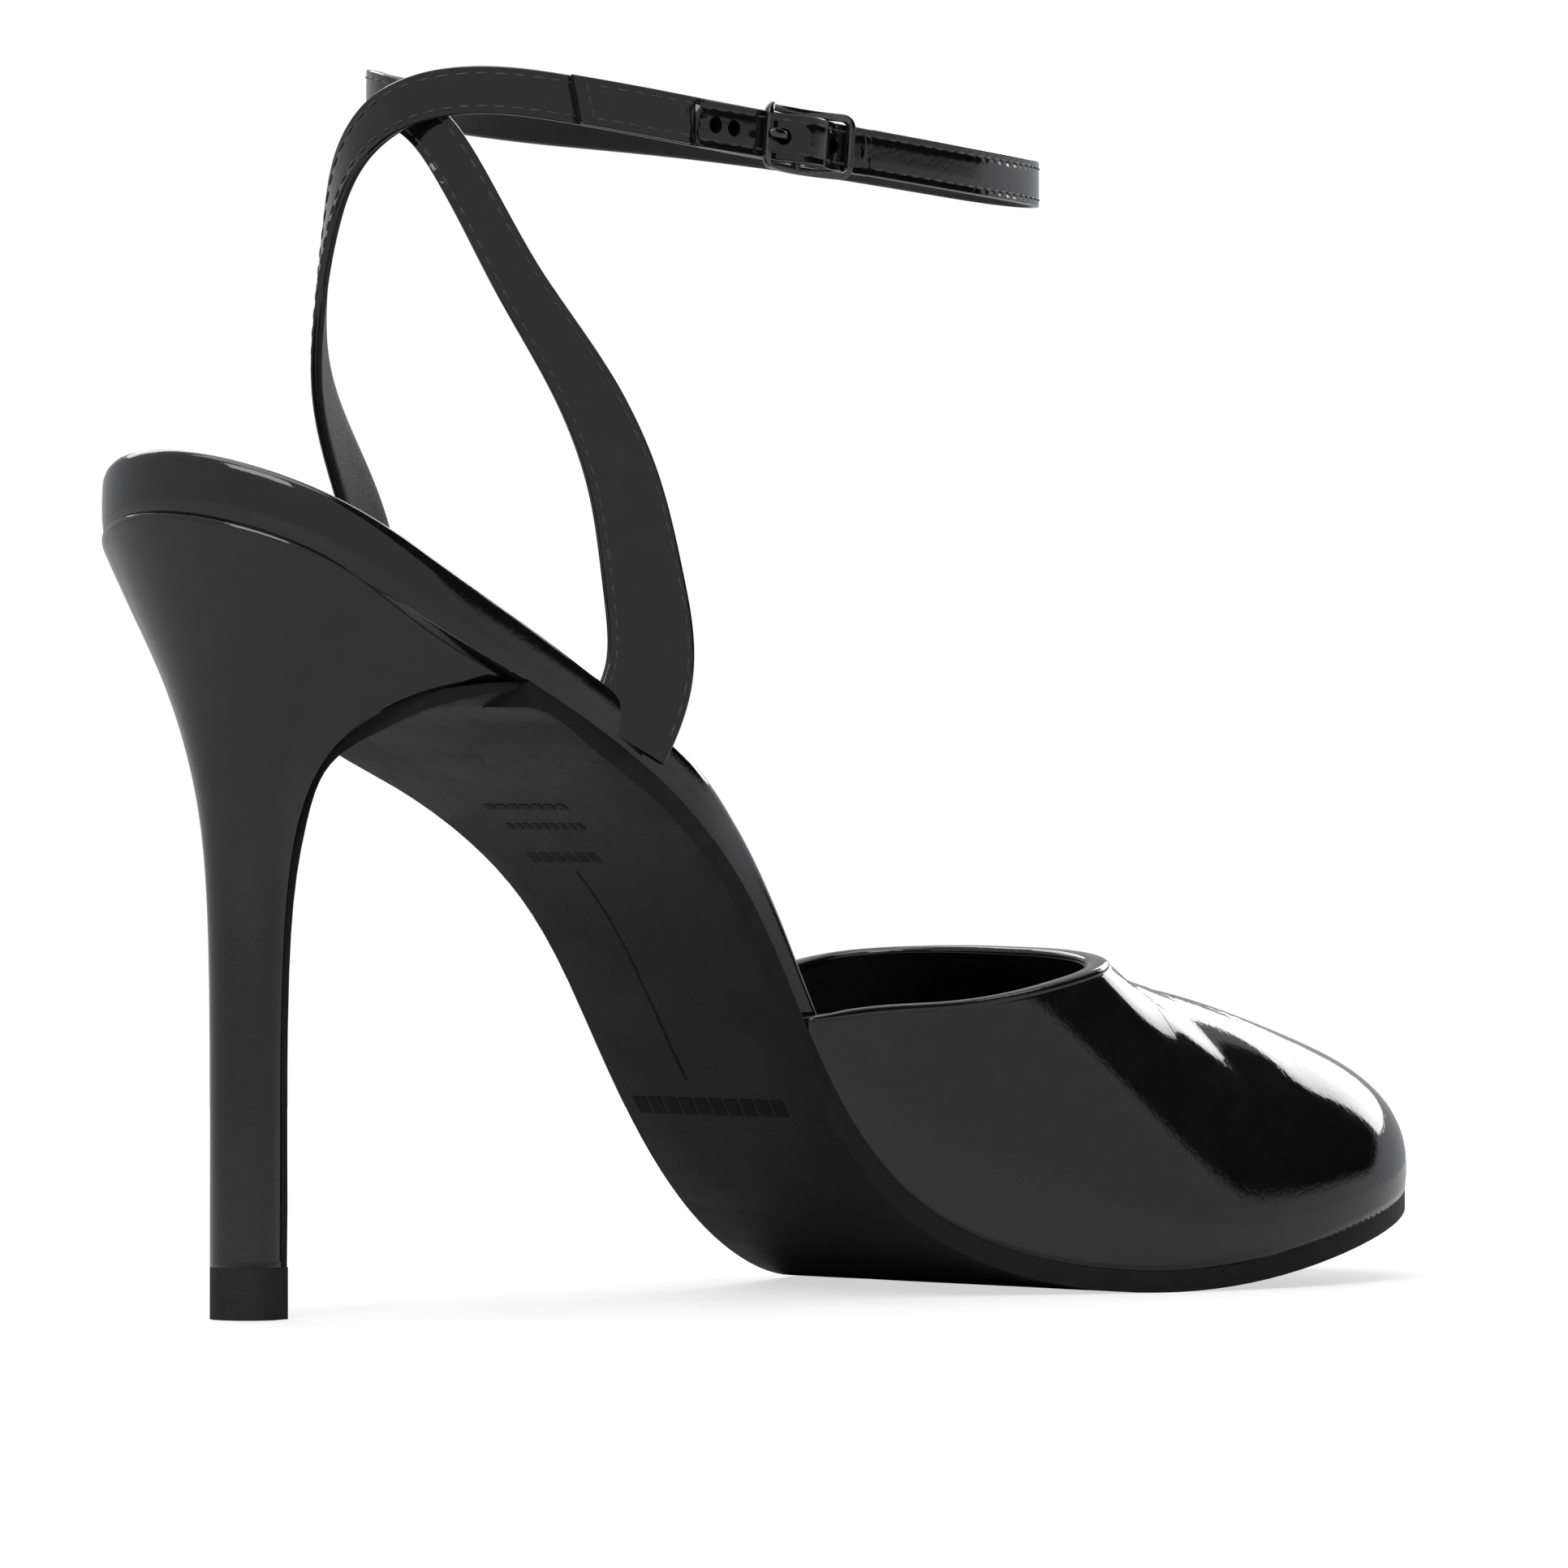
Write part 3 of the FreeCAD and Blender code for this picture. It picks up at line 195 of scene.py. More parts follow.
def place_softboxes():
    """Softboxes round the shoe, and a pale surround that glossy leather sees as a dim room."""
    middle = (0.09, 0.0, 0.07)
    softbox("key_softbox", (-0.75, -0.55, 1.05), middle, 0.9, 0.7, 8.0)
    softbox("toe_softbox", (1.25, 0.35, 0.55), middle, 0.9, 0.5, 5.0)
    softbox("back_softbox", (0.35, 1.25, 0.95), middle, 1.2, 0.6, 6.0)
    softbox("top_softbox", (0.1, 0.0, 1.5), middle, 1.3, 1.3, 9.0)
    world = bpy.data.worlds.new("pale_surround")
    world.use_nodes = True
    tree = world.node_tree
    tree.nodes.clear()
    seen = tree.nodes.new("ShaderNodeBackground")
    seen.inputs["Color"].default_value = (1.0, 1.0, 1.0, 1.0)
    seen.inputs["Strength"].default_value = 1.0
    around = tree.nodes.new("ShaderNodeBackground")
    around.inputs["Color"].default_value = (0.96, 0.97, 1.0, 1.0)
    card = tree.nodes.new("ShaderNodeVectorMath")
    card.operation = "DOT_PRODUCT"
    card.inputs[1].default_value = Vector((0.709, -0.497, 0.5)).normalized()
    facing = tree.nodes.new("ShaderNodeTexCoord").outputs["Generated"]
    tree.links.new(facing, card.inputs[0])
    height = tree.nodes.new("ShaderNodeSeparateXYZ")
    tree.links.new(facing, height.inputs[0])
    above = tree.nodes.new("ShaderNodeMapRange")
    above.inputs["From Min"].default_value = 0.04
    above.inputs["From Max"].default_value = 0.10
    tree.links.new(height.outputs["Z"], above.inputs["Value"])
    shade = tree.nodes.new("ShaderNodeMapRange")
    shade.inputs["From Min"].default_value = 0.82
    shade.inputs["From Max"].default_value = 0.85
    tree.links.new(card.outputs["Value"], shade.inputs["Value"])
    dark = maths(tree, "MULTIPLY", shade.outputs["Result"], above.outputs["Result"])
    room = maths(tree, "MULTIPLY", maths(tree, "SUBTRACT", 1.0, dark), room_light)
    tree.links.new(room, around.inputs["Strength"])
    path = tree.nodes.new("ShaderNodeLightPath")
    mix = tree.nodes.new("ShaderNodeMixShader")
    out = tree.nodes.new("ShaderNodeOutputWorld")
    tree.links.new(path.outputs["Is Camera Ray"], mix.inputs[0])
    tree.links.new(around.outputs[0], mix.inputs[1])
    tree.links.new(seen.outputs[0], mix.inputs[2])
    tree.links.new(mix.outputs[0], out.inputs["Surface"])
    bpy.context.scene.world = world


# ---------------------------------------------------------------- curves
def curve_through(points):
    """Smooth line through points as a function of the distance along it, and its length."""
    spots = np.array(points, float)
    steps = np.linalg.norm(np.diff(spots, axis=0), axis=1)
    marks = np.concatenate([[0.0], np.cumsum(steps)])
    count = len(spots)
    system = np.zeros((count, count))
    wanted = np.zeros(spots.shape)
    system[0, 0] = system[-1, -1] = 1.0
    for i in range(1, count - 1):
        system[i, i - 1:i + 2] = steps[i - 1], 2 * (steps[i - 1] + steps[i]), steps[i]
        wanted[i] = 6 * ((spots[i + 1] - spots[i]) / steps[i]
                         - (spots[i] - spots[i - 1]) / steps[i - 1])
    bends = np.linalg.solve(system, wanted)

    def place(distance):
        d = np.atleast_1d(np.asarray(distance, float))
        i = np.clip(np.searchsorted(marks, d) - 1, 0, count - 2)
        a = ((marks[i + 1] - d) / steps[i])[:, None]
        b = 1 - a
        found = a * spots[i] + b * spots[i + 1]
        found += ((a ** 3 - a) * bends[i] + (b ** 3 - b) * bends[i + 1]) * steps[i][:, None] ** 2 / 6
        return found

    return place, marks[-1]


def sampled(points, count):
    """Evenly set points along the smooth line through points."""
    place, length = curve_through(points)
    return evenly(place(np.linspace(0.0, length, 6 * count)), count)


def evenly(line, count):
    """The same line with its points evenly set."""
    line = np.asarray(line, float)
    steps = np.linalg.norm(np.diff(line, axis=0), axis=1)
    marks = np.concatenate([[0.0], np.cumsum(steps)])
    wanted = np.linspace(0.0, marks[-1], count)
    return np.column_stack([np.interp(wanted, marks, line[:, i]) for i in range(line.shape[1])])


def ease(share):
    share = min(1.0, max(0.0, share))
    return share * share * (3 - 2 * share)


def along(share):
    return share * sole_length + sole_back


def seat_curve():
    points = []
    for share, height in SEAT_LINE:
        level = outsole_thickness + (seat_height - outsole_thickness) * height
        points.append((along(share), level))
    first = [2 * a - b for a, b in zip(points[0], points[1])]
    last = [2 * a - b for a, b in zip(points[-1], points[-2])]
    return sampled([first] + points + [last], 900)


SEAT = seat_curve()
SEAT_RUN = np.gradient(SEAT, axis=0)
SEAT_RUN /= np.linalg.norm(SEAT_RUN, axis=1)[:, None]


def seat_z(x, height=0.0):
    """Level straight above x of the surface that lies a height above the feather line."""
    return np.interp(x, SEAT[:, 0], SEAT[:, 1]) + height / np.interp(x, SEAT[:, 0],
                                                                     SEAT_RUN[:, 0])


def on_seat(x, y, height):
    """Point at a height square above the feather line."""
    run_x = float(np.interp(x, SEAT[:, 0], SEAT_RUN[:, 0]))
    run_z = float(np.interp(x, SEAT[:, 0], SEAT_RUN[:, 1]))
    level = float(np.interp(x, SEAT[:, 0], SEAT[:, 1]))
    return Vector((x - run_z * height, y, level + run_x * height))


def outline_ring():
    """Closed outline from the back, round by the lateral side, evenly set."""
    lateral = [(along(s), -a * ball_width) for s, a, b in OUTLINE]
    medial = [(along(s), b * ball_width) for s, a, b in OUTLINE][::-1]
    ring = [(along(0), 0.0)] + lateral + [(along(1), 0.0)] + medial
    count = len(ring)
    doubled = ring[-4:] + ring + ring[:5]
    place, length = curve_through(doubled)
    chords = np.linalg.norm(np.diff(np.array(doubled), axis=0), axis=1)
    start = chords[:4].sum()
    end = chords[:4 + count].sum()
    return evenly(place(np.linspace(start, end, 4000)), 1601)


RING = outline_ring()
RING_RUN = np.gradient(RING, axis=0)
RING_RUN[0] = RING_RUN[-1] = (0.0, -1.0)
RING_RUN /= np.linalg.norm(RING_RUN, axis=1)[:, None]
LATERAL = RING[RING[:, 1] <= 0]
LATERAL = LATERAL[np.argsort(LATERAL[:, 0])]
MEDIAL = RING[RING[:, 1] >= 0]
MEDIAL = MEDIAL[np.argsort(MEDIAL[:, 0])]


def outline_at(share, inset):
    """Point of the outline, moved in."""
    at = share * (len(RING) - 1)
    marks = np.arange(len(RING))
    x, y = (float(np.interp(at, marks, RING[:, i])) for i in (0, 1))
    run_x, run_y = (float(np.interp(at, marks, RING_RUN[:, i])) for i in (0, 1))
    size = math.hypot(run_x, run_y)
    return x - run_y / size * inset, y + run_x / size * inset


def half_width(x, side):
    """Half width of the outline at x: side is -1 for lateral, 1 for medial."""
    table = LATERAL if side < 0 else MEDIAL
    return float(np.interp(x, table[:, 0], np.abs(table[:, 1])))


def inside_upper(x):
    """How far the rim and sock draw in where the vamp goes round them."""
    return (upper_total + 0.1) * ease((x - 54.0) / 20.0)


def seat_lift(x):
    """How much fuller the wrapped rim and the sock stand at the heel seat."""
    return seat_fullness * ease((48.0 - x) / 44.0)


# ---------------------------------------------------------------- mesh makers
def finished(name, mesh, body, material, replaces=(), smooth=None):
    """Object of a bmesh, riding on a body, in a material."""
    data = bpy.data.meshes.new(name)
    mesh.to_mesh(data)
    mesh.free()
    piece = bpy.data.objects.new(name, data)
    bpy.context.scene.collection.objects.link(piece)
    data.materials.append(material)
    data.shade_smooth()
    if smooth is not None:
        data.set_sharp_from_angle(angle=math.radians(smooth))
    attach(piece, body)
    if replaces:
        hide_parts(*replaces)
    return piece


def skin(columns, rows, place):
    """Grid laid over a surface: place turns shares along and across into millimetres."""
    mesh = bmesh.new()
    bmesh.ops.create_grid(mesh, x_segments=columns, y_segments=rows, size=0.5)
    for vert in mesh.verts:
        vert.co = Vector(place(vert.co.x + 0.5, vert.co.y + 0.5)) * MM
    bmesh.ops.remove_doubles(mesh, verts=mesh.verts, dist=2e-6)
    return mesh


def closed(mesh):
    """Caps the open ends of a tube and turns its faces outwards."""
    open_edges = [edge for edge in mesh.edges if edge.is_boundary]
    if open_edges:
        bmesh.ops.holes_fill(mesh, edges=open_edges, sides=0)
    bmesh.ops.recalc_face_normals(mesh, faces=mesh.faces)
    return mesh


def take_in(mesh, part):
    """Adds the faces of part to mesh and frees part."""
    data = bpy.data.meshes.new("part")
    part.to_mesh(data)
    part.free()
    mesh.from_mesh(data)
    bpy.data.meshes.remove(data)


def table_lookup(table):
    """place function for skin() that reads a table of points, columns by rows."""
    columns, rows = table.shape[0] - 1, table.shape[1] - 1

    def place(across, up):
        return table[int(round(across * columns)), int(round(up * rows))]

    return columns, rows, place


def cad_copy(node):
    """The node's own mesh with its loose triangles joined."""
    mesh = bmesh.new()
    mesh.from_mesh(nodes[node].data)
    bmesh.ops.remove_doubles(mesh, verts=mesh.verts, dist=1e-6)
    return mesh


def add_bevel(piece, width, angle=40.0):
    bevel = piece.modifiers.new("worn_edge", "BEVEL")
    bevel.width = width * MM
    bevel.segments = 3
    bevel.limit_method = "ANGLE"
    bevel.angle_limit = math.radians(angle)
    bevel.harden_normals = False


def rounded(share, half_wide, half_high, fullness):
    """Point round a rounded rectangle."""
    turn = 2 * math.pi * share
    power = 2.0 / fullness
    wide = math.copysign(abs(math.cos(turn)) ** power, math.cos(turn)) * half_wide
    high = math.copysign(abs(math.sin(turn)) ** power, math.sin(turn)) * half_high
    return wide, high


# ---------------------------------------------------------------- material parts
def new_group(name, inputs, output):
    """Empty shader group of plain numbers with one output."""
    tree = bpy.data.node_groups.new(name, "ShaderNodeTree")
    for label, value in inputs:
        socket = tree.interface.new_socket(name=label, in_out="INPUT",
                                           socket_type="NodeSocketFloat")
        socket.default_value = value
    tree.interface.new_socket(name=output, in_out="OUTPUT", socket_type="NodeSocketFloat")
    given = tree.nodes.new("NodeGroupInput")
    result = tree.nodes.new("NodeGroupOutput")
    return tree, given, result


def maths(tree, operation, first, second):
    """Math node whose inputs are sockets or plain numbers."""
    node = tree.nodes.new("ShaderNodeMath")
    node.operation = operation
    for socket, value in zip(node.inputs, (first, second)):
        if isinstance(value, (int, float)):
            socket.default_value = value
        else:
            tree.links.new(value, socket)
    return node.outputs[0]


def noise(tree, scale, detail, coordinates):
    node = tree.nodes.new("ShaderNodeTexNoise")
    node.inputs["Detail"].default_value = detail
    if isinstance(scale, (int, float)):
        node.inputs["Scale"].default_value = scale
    else:
        tree.links.new(scale, node.inputs["Scale"])
    tree.links.new(coordinates, node.inputs["Vector"])
    return node.outputs["Fac"]


def grain_group():
    """Pores and fine ripples of leather: a height for bump."""
    tree, given, result = new_group("leather_grain", [("Pores", 900.0), ("Ripple", 120.0),
                                                      ("Ripple Share", 0.5)], "Height")
    where = tree.nodes.new("ShaderNodeTexCoord").outputs["Object"]
    cells = tree.nodes.new("ShaderNodeTexVoronoi")
    cells.feature = "DISTANCE_TO_EDGE"
    tree.links.new(given.outputs["Pores"], cells.inputs["Scale"])
    tree.links.new(where, cells.inputs["Vector"])
    pores = maths(tree, "MINIMUM", cells.outputs["Distance"], 0.18)
    ripple = maths(tree, "MULTIPLY", noise(tree, given.outputs["Ripple"], 3.0, where),
                   given.outputs["Ripple Share"])
    tree.links.new(maths(tree, "ADD", pores, ripple), result.inputs["Height"])
    return tree


def handling_group():
    """Uneven wear from handling: 0 where fresh, 1 where rubbed."""
    tree, given, result = new_group("handling", [("Size", 30.0), ("Amount", 0.5)], "Rubbed")
    where = tree.nodes.new("ShaderNodeTexCoord").outputs["Object"]
    broad = noise(tree, given.outputs["Size"], 4.0, where)
    fine = noise(tree, maths(tree, "MULTIPLY", given.outputs["Size"], 14.0), 2.0, where)
    both = maths(tree, "MULTIPLY", broad, fine)
    rubbed = maths(tree, "MULTIPLY", maths(tree, "MULTIPLY", both, 2.4), given.outputs["Amount"])
    tree.links.new(maths(tree, "MINIMUM", rubbed, 1.0), result.inputs["Rubbed"])
    return tree


GRAIN = grain_group()
HANDLING = handling_group()


def use_group(tree, group, values):
    node = tree.nodes.new("ShaderNodeGroup")
    node.node_tree = group
    for label, value in values.items():
        node.inputs[label].default_value = value
    return node.outputs[0]


def finish_material(name, fresh, rubbed, roughness, grain, bump, handling, coat=0.0,
                    metallic=0.0, specular=0.5, sheen=0.0):
    """Material with grain bump, and colour and roughness that vary where it is handled."""
    material = bpy.data.materials.new(name)
    material.use_nodes = True
    tree = material.node_tree
    shader = tree.nodes["Principled BSDF"]
    shader.inputs["Metallic"].default_value = metallic
    shader.inputs["Specular IOR Level"].default_value = specular
    shader.inputs["Coat Weight"].default_value = coat
    shader.inputs["Coat Roughness"].default_value = 0.03
    shader.inputs["Sheen Weight"].default_value = sheen
    mask = use_group(tree, HANDLING, handling)
    colour = tree.nodes.new("ShaderNodeMix")
    colour.data_type = "RGBA"
    colour.inputs["A"].default_value = (*fresh, 1.0)
    colour.inputs["B"].default_value = (*rubbed, 1.0)
    tree.links.new(mask, colour.inputs["Factor"])
    tree.links.new(colour.outputs["Result"], shader.inputs["Base Color"])
    spread = tree.nodes.new("ShaderNodeMapRange")
    spread.inputs["To Min"].default_value = roughness[0]
    spread.inputs["To Max"].default_value = roughness[1]
    tree.links.new(mask, spread.inputs["Value"])
    tree.links.new(spread.outputs["Result"], shader.inputs["Roughness"])
    relief = tree.nodes.new("ShaderNodeBump")
    relief.inputs["Strength"].default_value = bump[0]
    relief.inputs["Distance"].default_value = bump[1] * MM
    tree.links.new(use_group(tree, GRAIN, grain), relief.inputs["Height"])
    tree.links.new(relief.outputs["Normal"], shader.inputs["Normal"])
    return material


def patent(name, ripple_share):
    """Black patent: smooth lacquer over leather, with a faint ripple."""
    return finish_material(name, (0.0045, 0.0042, 0.0046), (0.012, 0.0115, 0.012), (0.055, 0.12),
                           {"Pores": 700.0, "Ripple": 95.0, "Ripple Share": ripple_share},
                           (0.25, 0.12), {"Size": 22.0, "Amount": 0.7}, coat=0.6)


PATENT_VAMP = patent("patent_vamp", 0.9)
PATENT_HEEL = patent("patent_heel", 0.5)
PATENT_RIM = patent("patent_rim", 0.7)
PATENT_STRAP = patent("patent_strap", 0.8)
SOLE_LEATHER = finish_material("sole_leather", (0.007, 0.0067, 0.007), (0.016, 0.0155, 0.016),
                               (0.42, 0.58), {"Pores": 1500.0, "Ripple": 260.0,
                                              "Ripple Share": 0.8},
                               (0.4, 0.1), {"Size": 26.0, "Amount": 0.9}, specular=0.22)
LINING = finish_material("lining_leather", (0.010, 0.0095, 0.010), (0.02, 0.019, 0.02),
                         (0.45, 0.6), {"Pores": 1800.0, "Ripple": 300.0, "Ripple Share": 0.6},
                         (0.5, 0.1), {"Size": 40.0, "Amount": 0.6})
SOCK = finish_material("sock_leather", (0.011, 0.0105, 0.011), (0.026, 0.025, 0.026),
                       (0.4, 0.58), {"Pores": 1400.0, "Ripple": 200.0, "Ripple Share": 0.8},
                       (0.5, 0.12), {"Size": 24.0, "Amount": 0.8}, specular=0.2)
TIP_RUBBER = finish_material("heel_tip_rubber", (0.012, 0.012, 0.012), (0.03, 0.03, 0.03),
                             (0.6, 0.75), {"Pores": 2600.0, "Ripple": 800.0,
                                            "Ripple Share": 1.0},
                             (0.5, 0.1), {"Size": 120.0, "Amount": 0.9}, specular=0.3)
THREAD = finish_material("black_thread", (0.012, 0.012, 0.013), (0.05, 0.05, 0.052), (0.4, 0.6),
                         {"Pores": 5200.0, "Ripple": 2600.0, "Ripple Share": 1.0},
                         (0.8, 0.08), {"Size": 300.0, "Amount": 0.8}, sheen=0.2)
BLACK_NICKEL = finish_material("black_nickel", (0.09, 0.09, 0.105), (0.22, 0.21, 0.21),
                               (0.14, 0.3), {"Pores": 4000.0, "Ripple": 500.0,
                                             "Ripple Share": 1.0},
                               (0.15, 0.02), {"Size": 160.0, "Amount": 0.7}, metallic=1.0)
STAMPED = finish_material("stamped_mark", (0.002, 0.002, 0.002), (0.004, 0.004, 0.004), (0.4, 0.5),
                          {"Pores": 2000.0, "Ripple": 600.0, "Ripple Share": 0.8},
                          (0.3, 0.05), {"Size": 90.0, "Amount": 0.8}, specular=0.1)


# Materials of the pieces inside the shoe: fresh and rubbed colour, roughness, grain, metal
INSIDE = {
    "cork_filler": ((0.30, 0.19, 0.10), (0.42, 0.29, 0.17), (0.8, 0.95), 420.0, 0.0),
    "fibre_board": ((0.36, 0.26, 0.16), (0.46, 0.35, 0.23), (0.7, 0.85), 1500.0, 0.0),
    "spring_steel": ((0.38, 0.39, 0.41), (0.5, 0.5, 0.5), (0.28, 0.42), 2400.0, 1.0),
    "rivet_steel": ((0.55, 0.55, 0.55), (0.65, 0.65, 0.64), (0.25, 0.4), 2400.0, 1.0),
    "insole_fibre": ((0.48, 0.39, 0.28), (0.58, 0.48, 0.36), (0.75, 0.9), 1300.0, 0.0),
    "insole_foam": ((0.78, 0.75, 0.68), (0.84, 0.81, 0.74), (0.85, 0.95), 1100.0, 0.0),
    "heel_plastic": ((0.72, 0.69, 0.63), (0.78, 0.75, 0.7), (0.4, 0.55), 3000.0, 0.0),
    "dowel_steel": ((0.45, 0.45, 0.47), (0.56, 0.55, 0.55), (0.3, 0.42), 2400.0, 1.0),
    "screw_steel": ((0.6, 0.57, 0.48), (0.68, 0.66, 0.58), (0.25, 0.38), 2400.0, 1.0),
    "nail_steel": ((0.5, 0.5, 0.5), (0.6, 0.6, 0.6), (0.3, 0.45), 2400.0, 1.0),
    "pin_steel": ((0.55, 0.55, 0.55), (0.64, 0.64, 0.64), (0.25, 0.38), 2400.0, 1.0),
    "backing_cloth": ((0.02, 0.02, 0.02), (0.05, 0.05, 0.05), (0.8, 0.95), 2600.0, 0.0),
    "toe_puff_fibre": ((0.62, 0.59, 0.52), (0.7, 0.67, 0.6), (0.7, 0.85), 1200.0, 0.0),
}


def inside_material(slot):
    fresh, rubbed, roughness, pores, metal = INSIDE[slot]
    grain = {"Pores": pores, "Ripple": pores * 0.3, "Ripple Share": 0.8}
    return finish_material(slot, fresh, rubbed, roughness, grain, (0.4, 0.1),
                           {"Size": 50.0, "Amount": 0.8}, metallic=metal)


def dress_cad_nodes():
    """Every CAD node takes the finish of its material slot."""
    made = {"lining_leather": LINING, "strap_lining_leather": LINING, "sock_leather": SOCK,
            "sole_leather": SOLE_LEATHER, "heel_tip_rubber": TIP_RUBBER,
            "black_nickel": BLACK_NICKEL, "patent_vamp": PATENT_VAMP, "patent_rim": PATENT_RIM,
            "patent_heel": PATENT_HEEL, "patent_strap": PATENT_STRAP}
    for row in frame["record"]["subparts"]:
        slot = row["material_slot"]
        if slot not in made:
            made[slot] = inside_material(slot)
        data = nodes[row["node"]].data
        data.materials.clear()
        data.materials.append(made[slot])


# ---------------------------------------------------------------- vamp
CREST_LINE = sampled([(x, float(seat_z(x)) + z) for x, z in CREST], 400)
LATERAL_TOP = sampled([(x, float(seat_z(x)) + a) for x, a, b in TOPLINE], 400)
MEDIAL_TOP = sampled([(x, float(seat_z(x)) + b) for x, a, b in TOPLINE], 400)


def crest_z(x):
    return float(np.interp(x, CREST_LINE[:, 0], CREST_LINE[:, 1]))


def topline_z(x, y):
    lateral = np.interp(x, LATERAL_TOP[:, 0], LATERAL_TOP[:, 1])
    medial = np.interp(x, MEDIAL_TOP[:, 0], MEDIAL_TOP[:, 1])
    return lateral + (medial - lateral) * ease((y + 30.0) / 60.0)


def over_foot(x, side):
    """Points of the upper at x, from the feather line on one side up to the crest."""
    level = float(seat_z(x, 0.02))
    height = crest_z(x) - level
    half = half_width(x, side)
    points = []
    for i in range(121):
        turn = math.pi / 2 * i / 120
        wide = (half + vamp_bulge * math.sin(2 * turn) * min(1.0, half / 8.0))
        across = 0.0 if i == 120 else wide * math.cos(turn) ** 0.72
        points.append((x, side * across, level + height * math.sin(turn) ** 0.95))
    return points


def throat_x():
    """Where the topline meets the crest."""
    x = 120.0
    while crest_z(x) > topline_z(x, 0.0):
        x += 0.01
    return x


THROAT = throat_x()
vamp_start = 76.6
behind_share = 0.42         # share of the columns behind the throat


def vamp_column_x(share):
    """Columns crowd together at the throat and at the tip of the toe."""
    if share <= behind_share:
        return vamp_start + (THROAT - vamp_start) * math.sin(math.pi / 2 * share / behind_share)
    beyond = (share - behind_share) / (1 - behind_share)
    return THROAT + (sole_high.x - THROAT) * (1 - math.cos(math.pi * beyond)) / 2


def vamp_half(side, columns, rows):
    """Table of points of one side of the vamp, from the feather line to the topline or crest."""
    table = np.zeros((columns + 1, rows + 1, 3))
    for i in range(columns + 1):
        x = vamp_column_x(i / columns)
        points = over_foot(x, side)
        over = [k for k, p in enumerate(points) if p[2] > topline_z(x, p[1])]
        if x < THROAT - 1e-6 and over:
            below, above = points[:max(1, over[0])], points[max(1, over[0])]
            last = below[-1]
            gap_low = topline_z(x, last[1]) - last[2]
            gap_high = above[2] - topline_z(x, above[1])
            share = gap_low / (gap_low + gap_high)
            points = below + [tuple(a + (b - a) * share for a, b in zip(last, above))]
        table[i] = evenly(points, rows + 1)
    return table


def crease_depth(x, y):
    """Soft folds that spread from the throat over the toes."""
    depth = 0.0
    for (x0, y0), (x1, y1), deep, half in CREASES:
        run_x, run_y = x1 - x0, y1 - y0
        length = math.hypot(run_x, run_y)
        share = ((x - x0) * run_x + (y - y0) * run_y) / length ** 2
        if not -0.25 < share < 1.25:
            continue
        off = ((x - x0) * run_y - (y - y0) * run_x) / length
        off += 0.8 * math.sin(share * 5.0)
        fade = ease((share + 0.25) / 0.5) * ease((1.25 - share) / 0.7)
        valley = math.exp(-(off / half) ** 2)
        ridge = math.exp(-((off - 1.7 * half) / half) ** 2)
        depth += deep * fade * (0.7 * ridge - valley)
    return depth


def merge_sides(tables):
    """One mesh of the lateral and medial tables of points, joined along the crest."""
    mesh = bmesh.new()
    for table in tables:
        columns, rows, place = table_lookup(table)
        take_in(mesh, skin(columns, rows, place))
    bmesh.ops.remove_doubles(mesh, verts=mesh.verts, dist=2e-6)
    bmesh.ops.recalc_face_normals(mesh, faces=mesh.faces)
    return mesh


def outward(mesh, middle):
    """Turns an open skin so that its faces look away from a point inside it."""
    votes = sum(face.normal.dot(face.calc_center_median() - middle) for face in mesh.faces)
    if votes < 0:
        bmesh.ops.reverse_faces(mesh, faces=mesh.faces)


def make_vamp():
    """Closed toe cup of patent, with soft creases behind the toes."""
    mesh = merge_sides([vamp_half(side, 96, 44) for side in (-1, 1)])
    outward(mesh, Vector((150.0, 0.0, 15.0)) * MM)
    mesh.normal_update()
    moved = [vert.co + vert.normal * crease_depth(vert.co.x / MM, vert.co.y / MM) * MM
             for vert in mesh.verts]
    for vert, place in zip(mesh.verts, moved):
        vert.co = place
    piece = finished("patent_vamp", mesh, "shoe", PATENT_VAMP, ["vamp"])
    wall = piece.modifiers.new("leather_thickness", "SOLIDIFY")
    wall.thickness = vamp_thickness * MM
    wall.offset = -1.0
    wall.use_rim = True


def topline_path():
    """Edge of the opening from the lateral sole, round the throat, to the medial sole."""
    lateral = vamp_half(-1, 96, 4)[:, -1]
    medial = vamp_half(1, 96, 4)[:, -1]
    behind = int(round(96 * behind_share)) + 1
    ring = np.concatenate([lateral[:behind], medial[:behind - 1][::-1]])
    return evenly(ring, 260)


def make_folded_edge():
    """Rounded fold of patent over the raw edges of the vamp and its lining."""
    line = topline_path()
    run = np.gradient(line, axis=0)
    middle = np.array([118.0, 0.0])
    count = len(line)

    def place(across, around):
        i = int(round(across * (count - 1)))
        along_edge = Vector(run[i]).normalized()
        inward = Vector((middle[0] - line[i][0], middle[1] - line[i][1], 0.0))
        inward = (inward - along_edge * inward.dot(along_edge)).normalized()
        up = along_edge.cross(inward)
        up = up if up.z > 0 else -up
        taper = ease(min(i, count - 1 - i) / 14.0)
        wide, high = rounded(around, 0.5 * upper_total * (0.45 + 0.55 * taper) + 0.12,
                             0.35 + 0.35 * taper, 2.6)
        centre = Vector(line[i]) + inward * (0.5 * upper_total * (0.45 + 0.55 * taper) - 0.1)
        return centre + inward * wide + up * (high - 0.15)

    mesh = closed(skin(count - 1, 24, place))
    finished("folded_topline", mesh, "shoe", PATENT_VAMP)


# ---------------------------------------------------------------- heel
BREAST_LINE = sampled(BREAST + [(breast_top, float(seat_z(breast_top)))], 400)


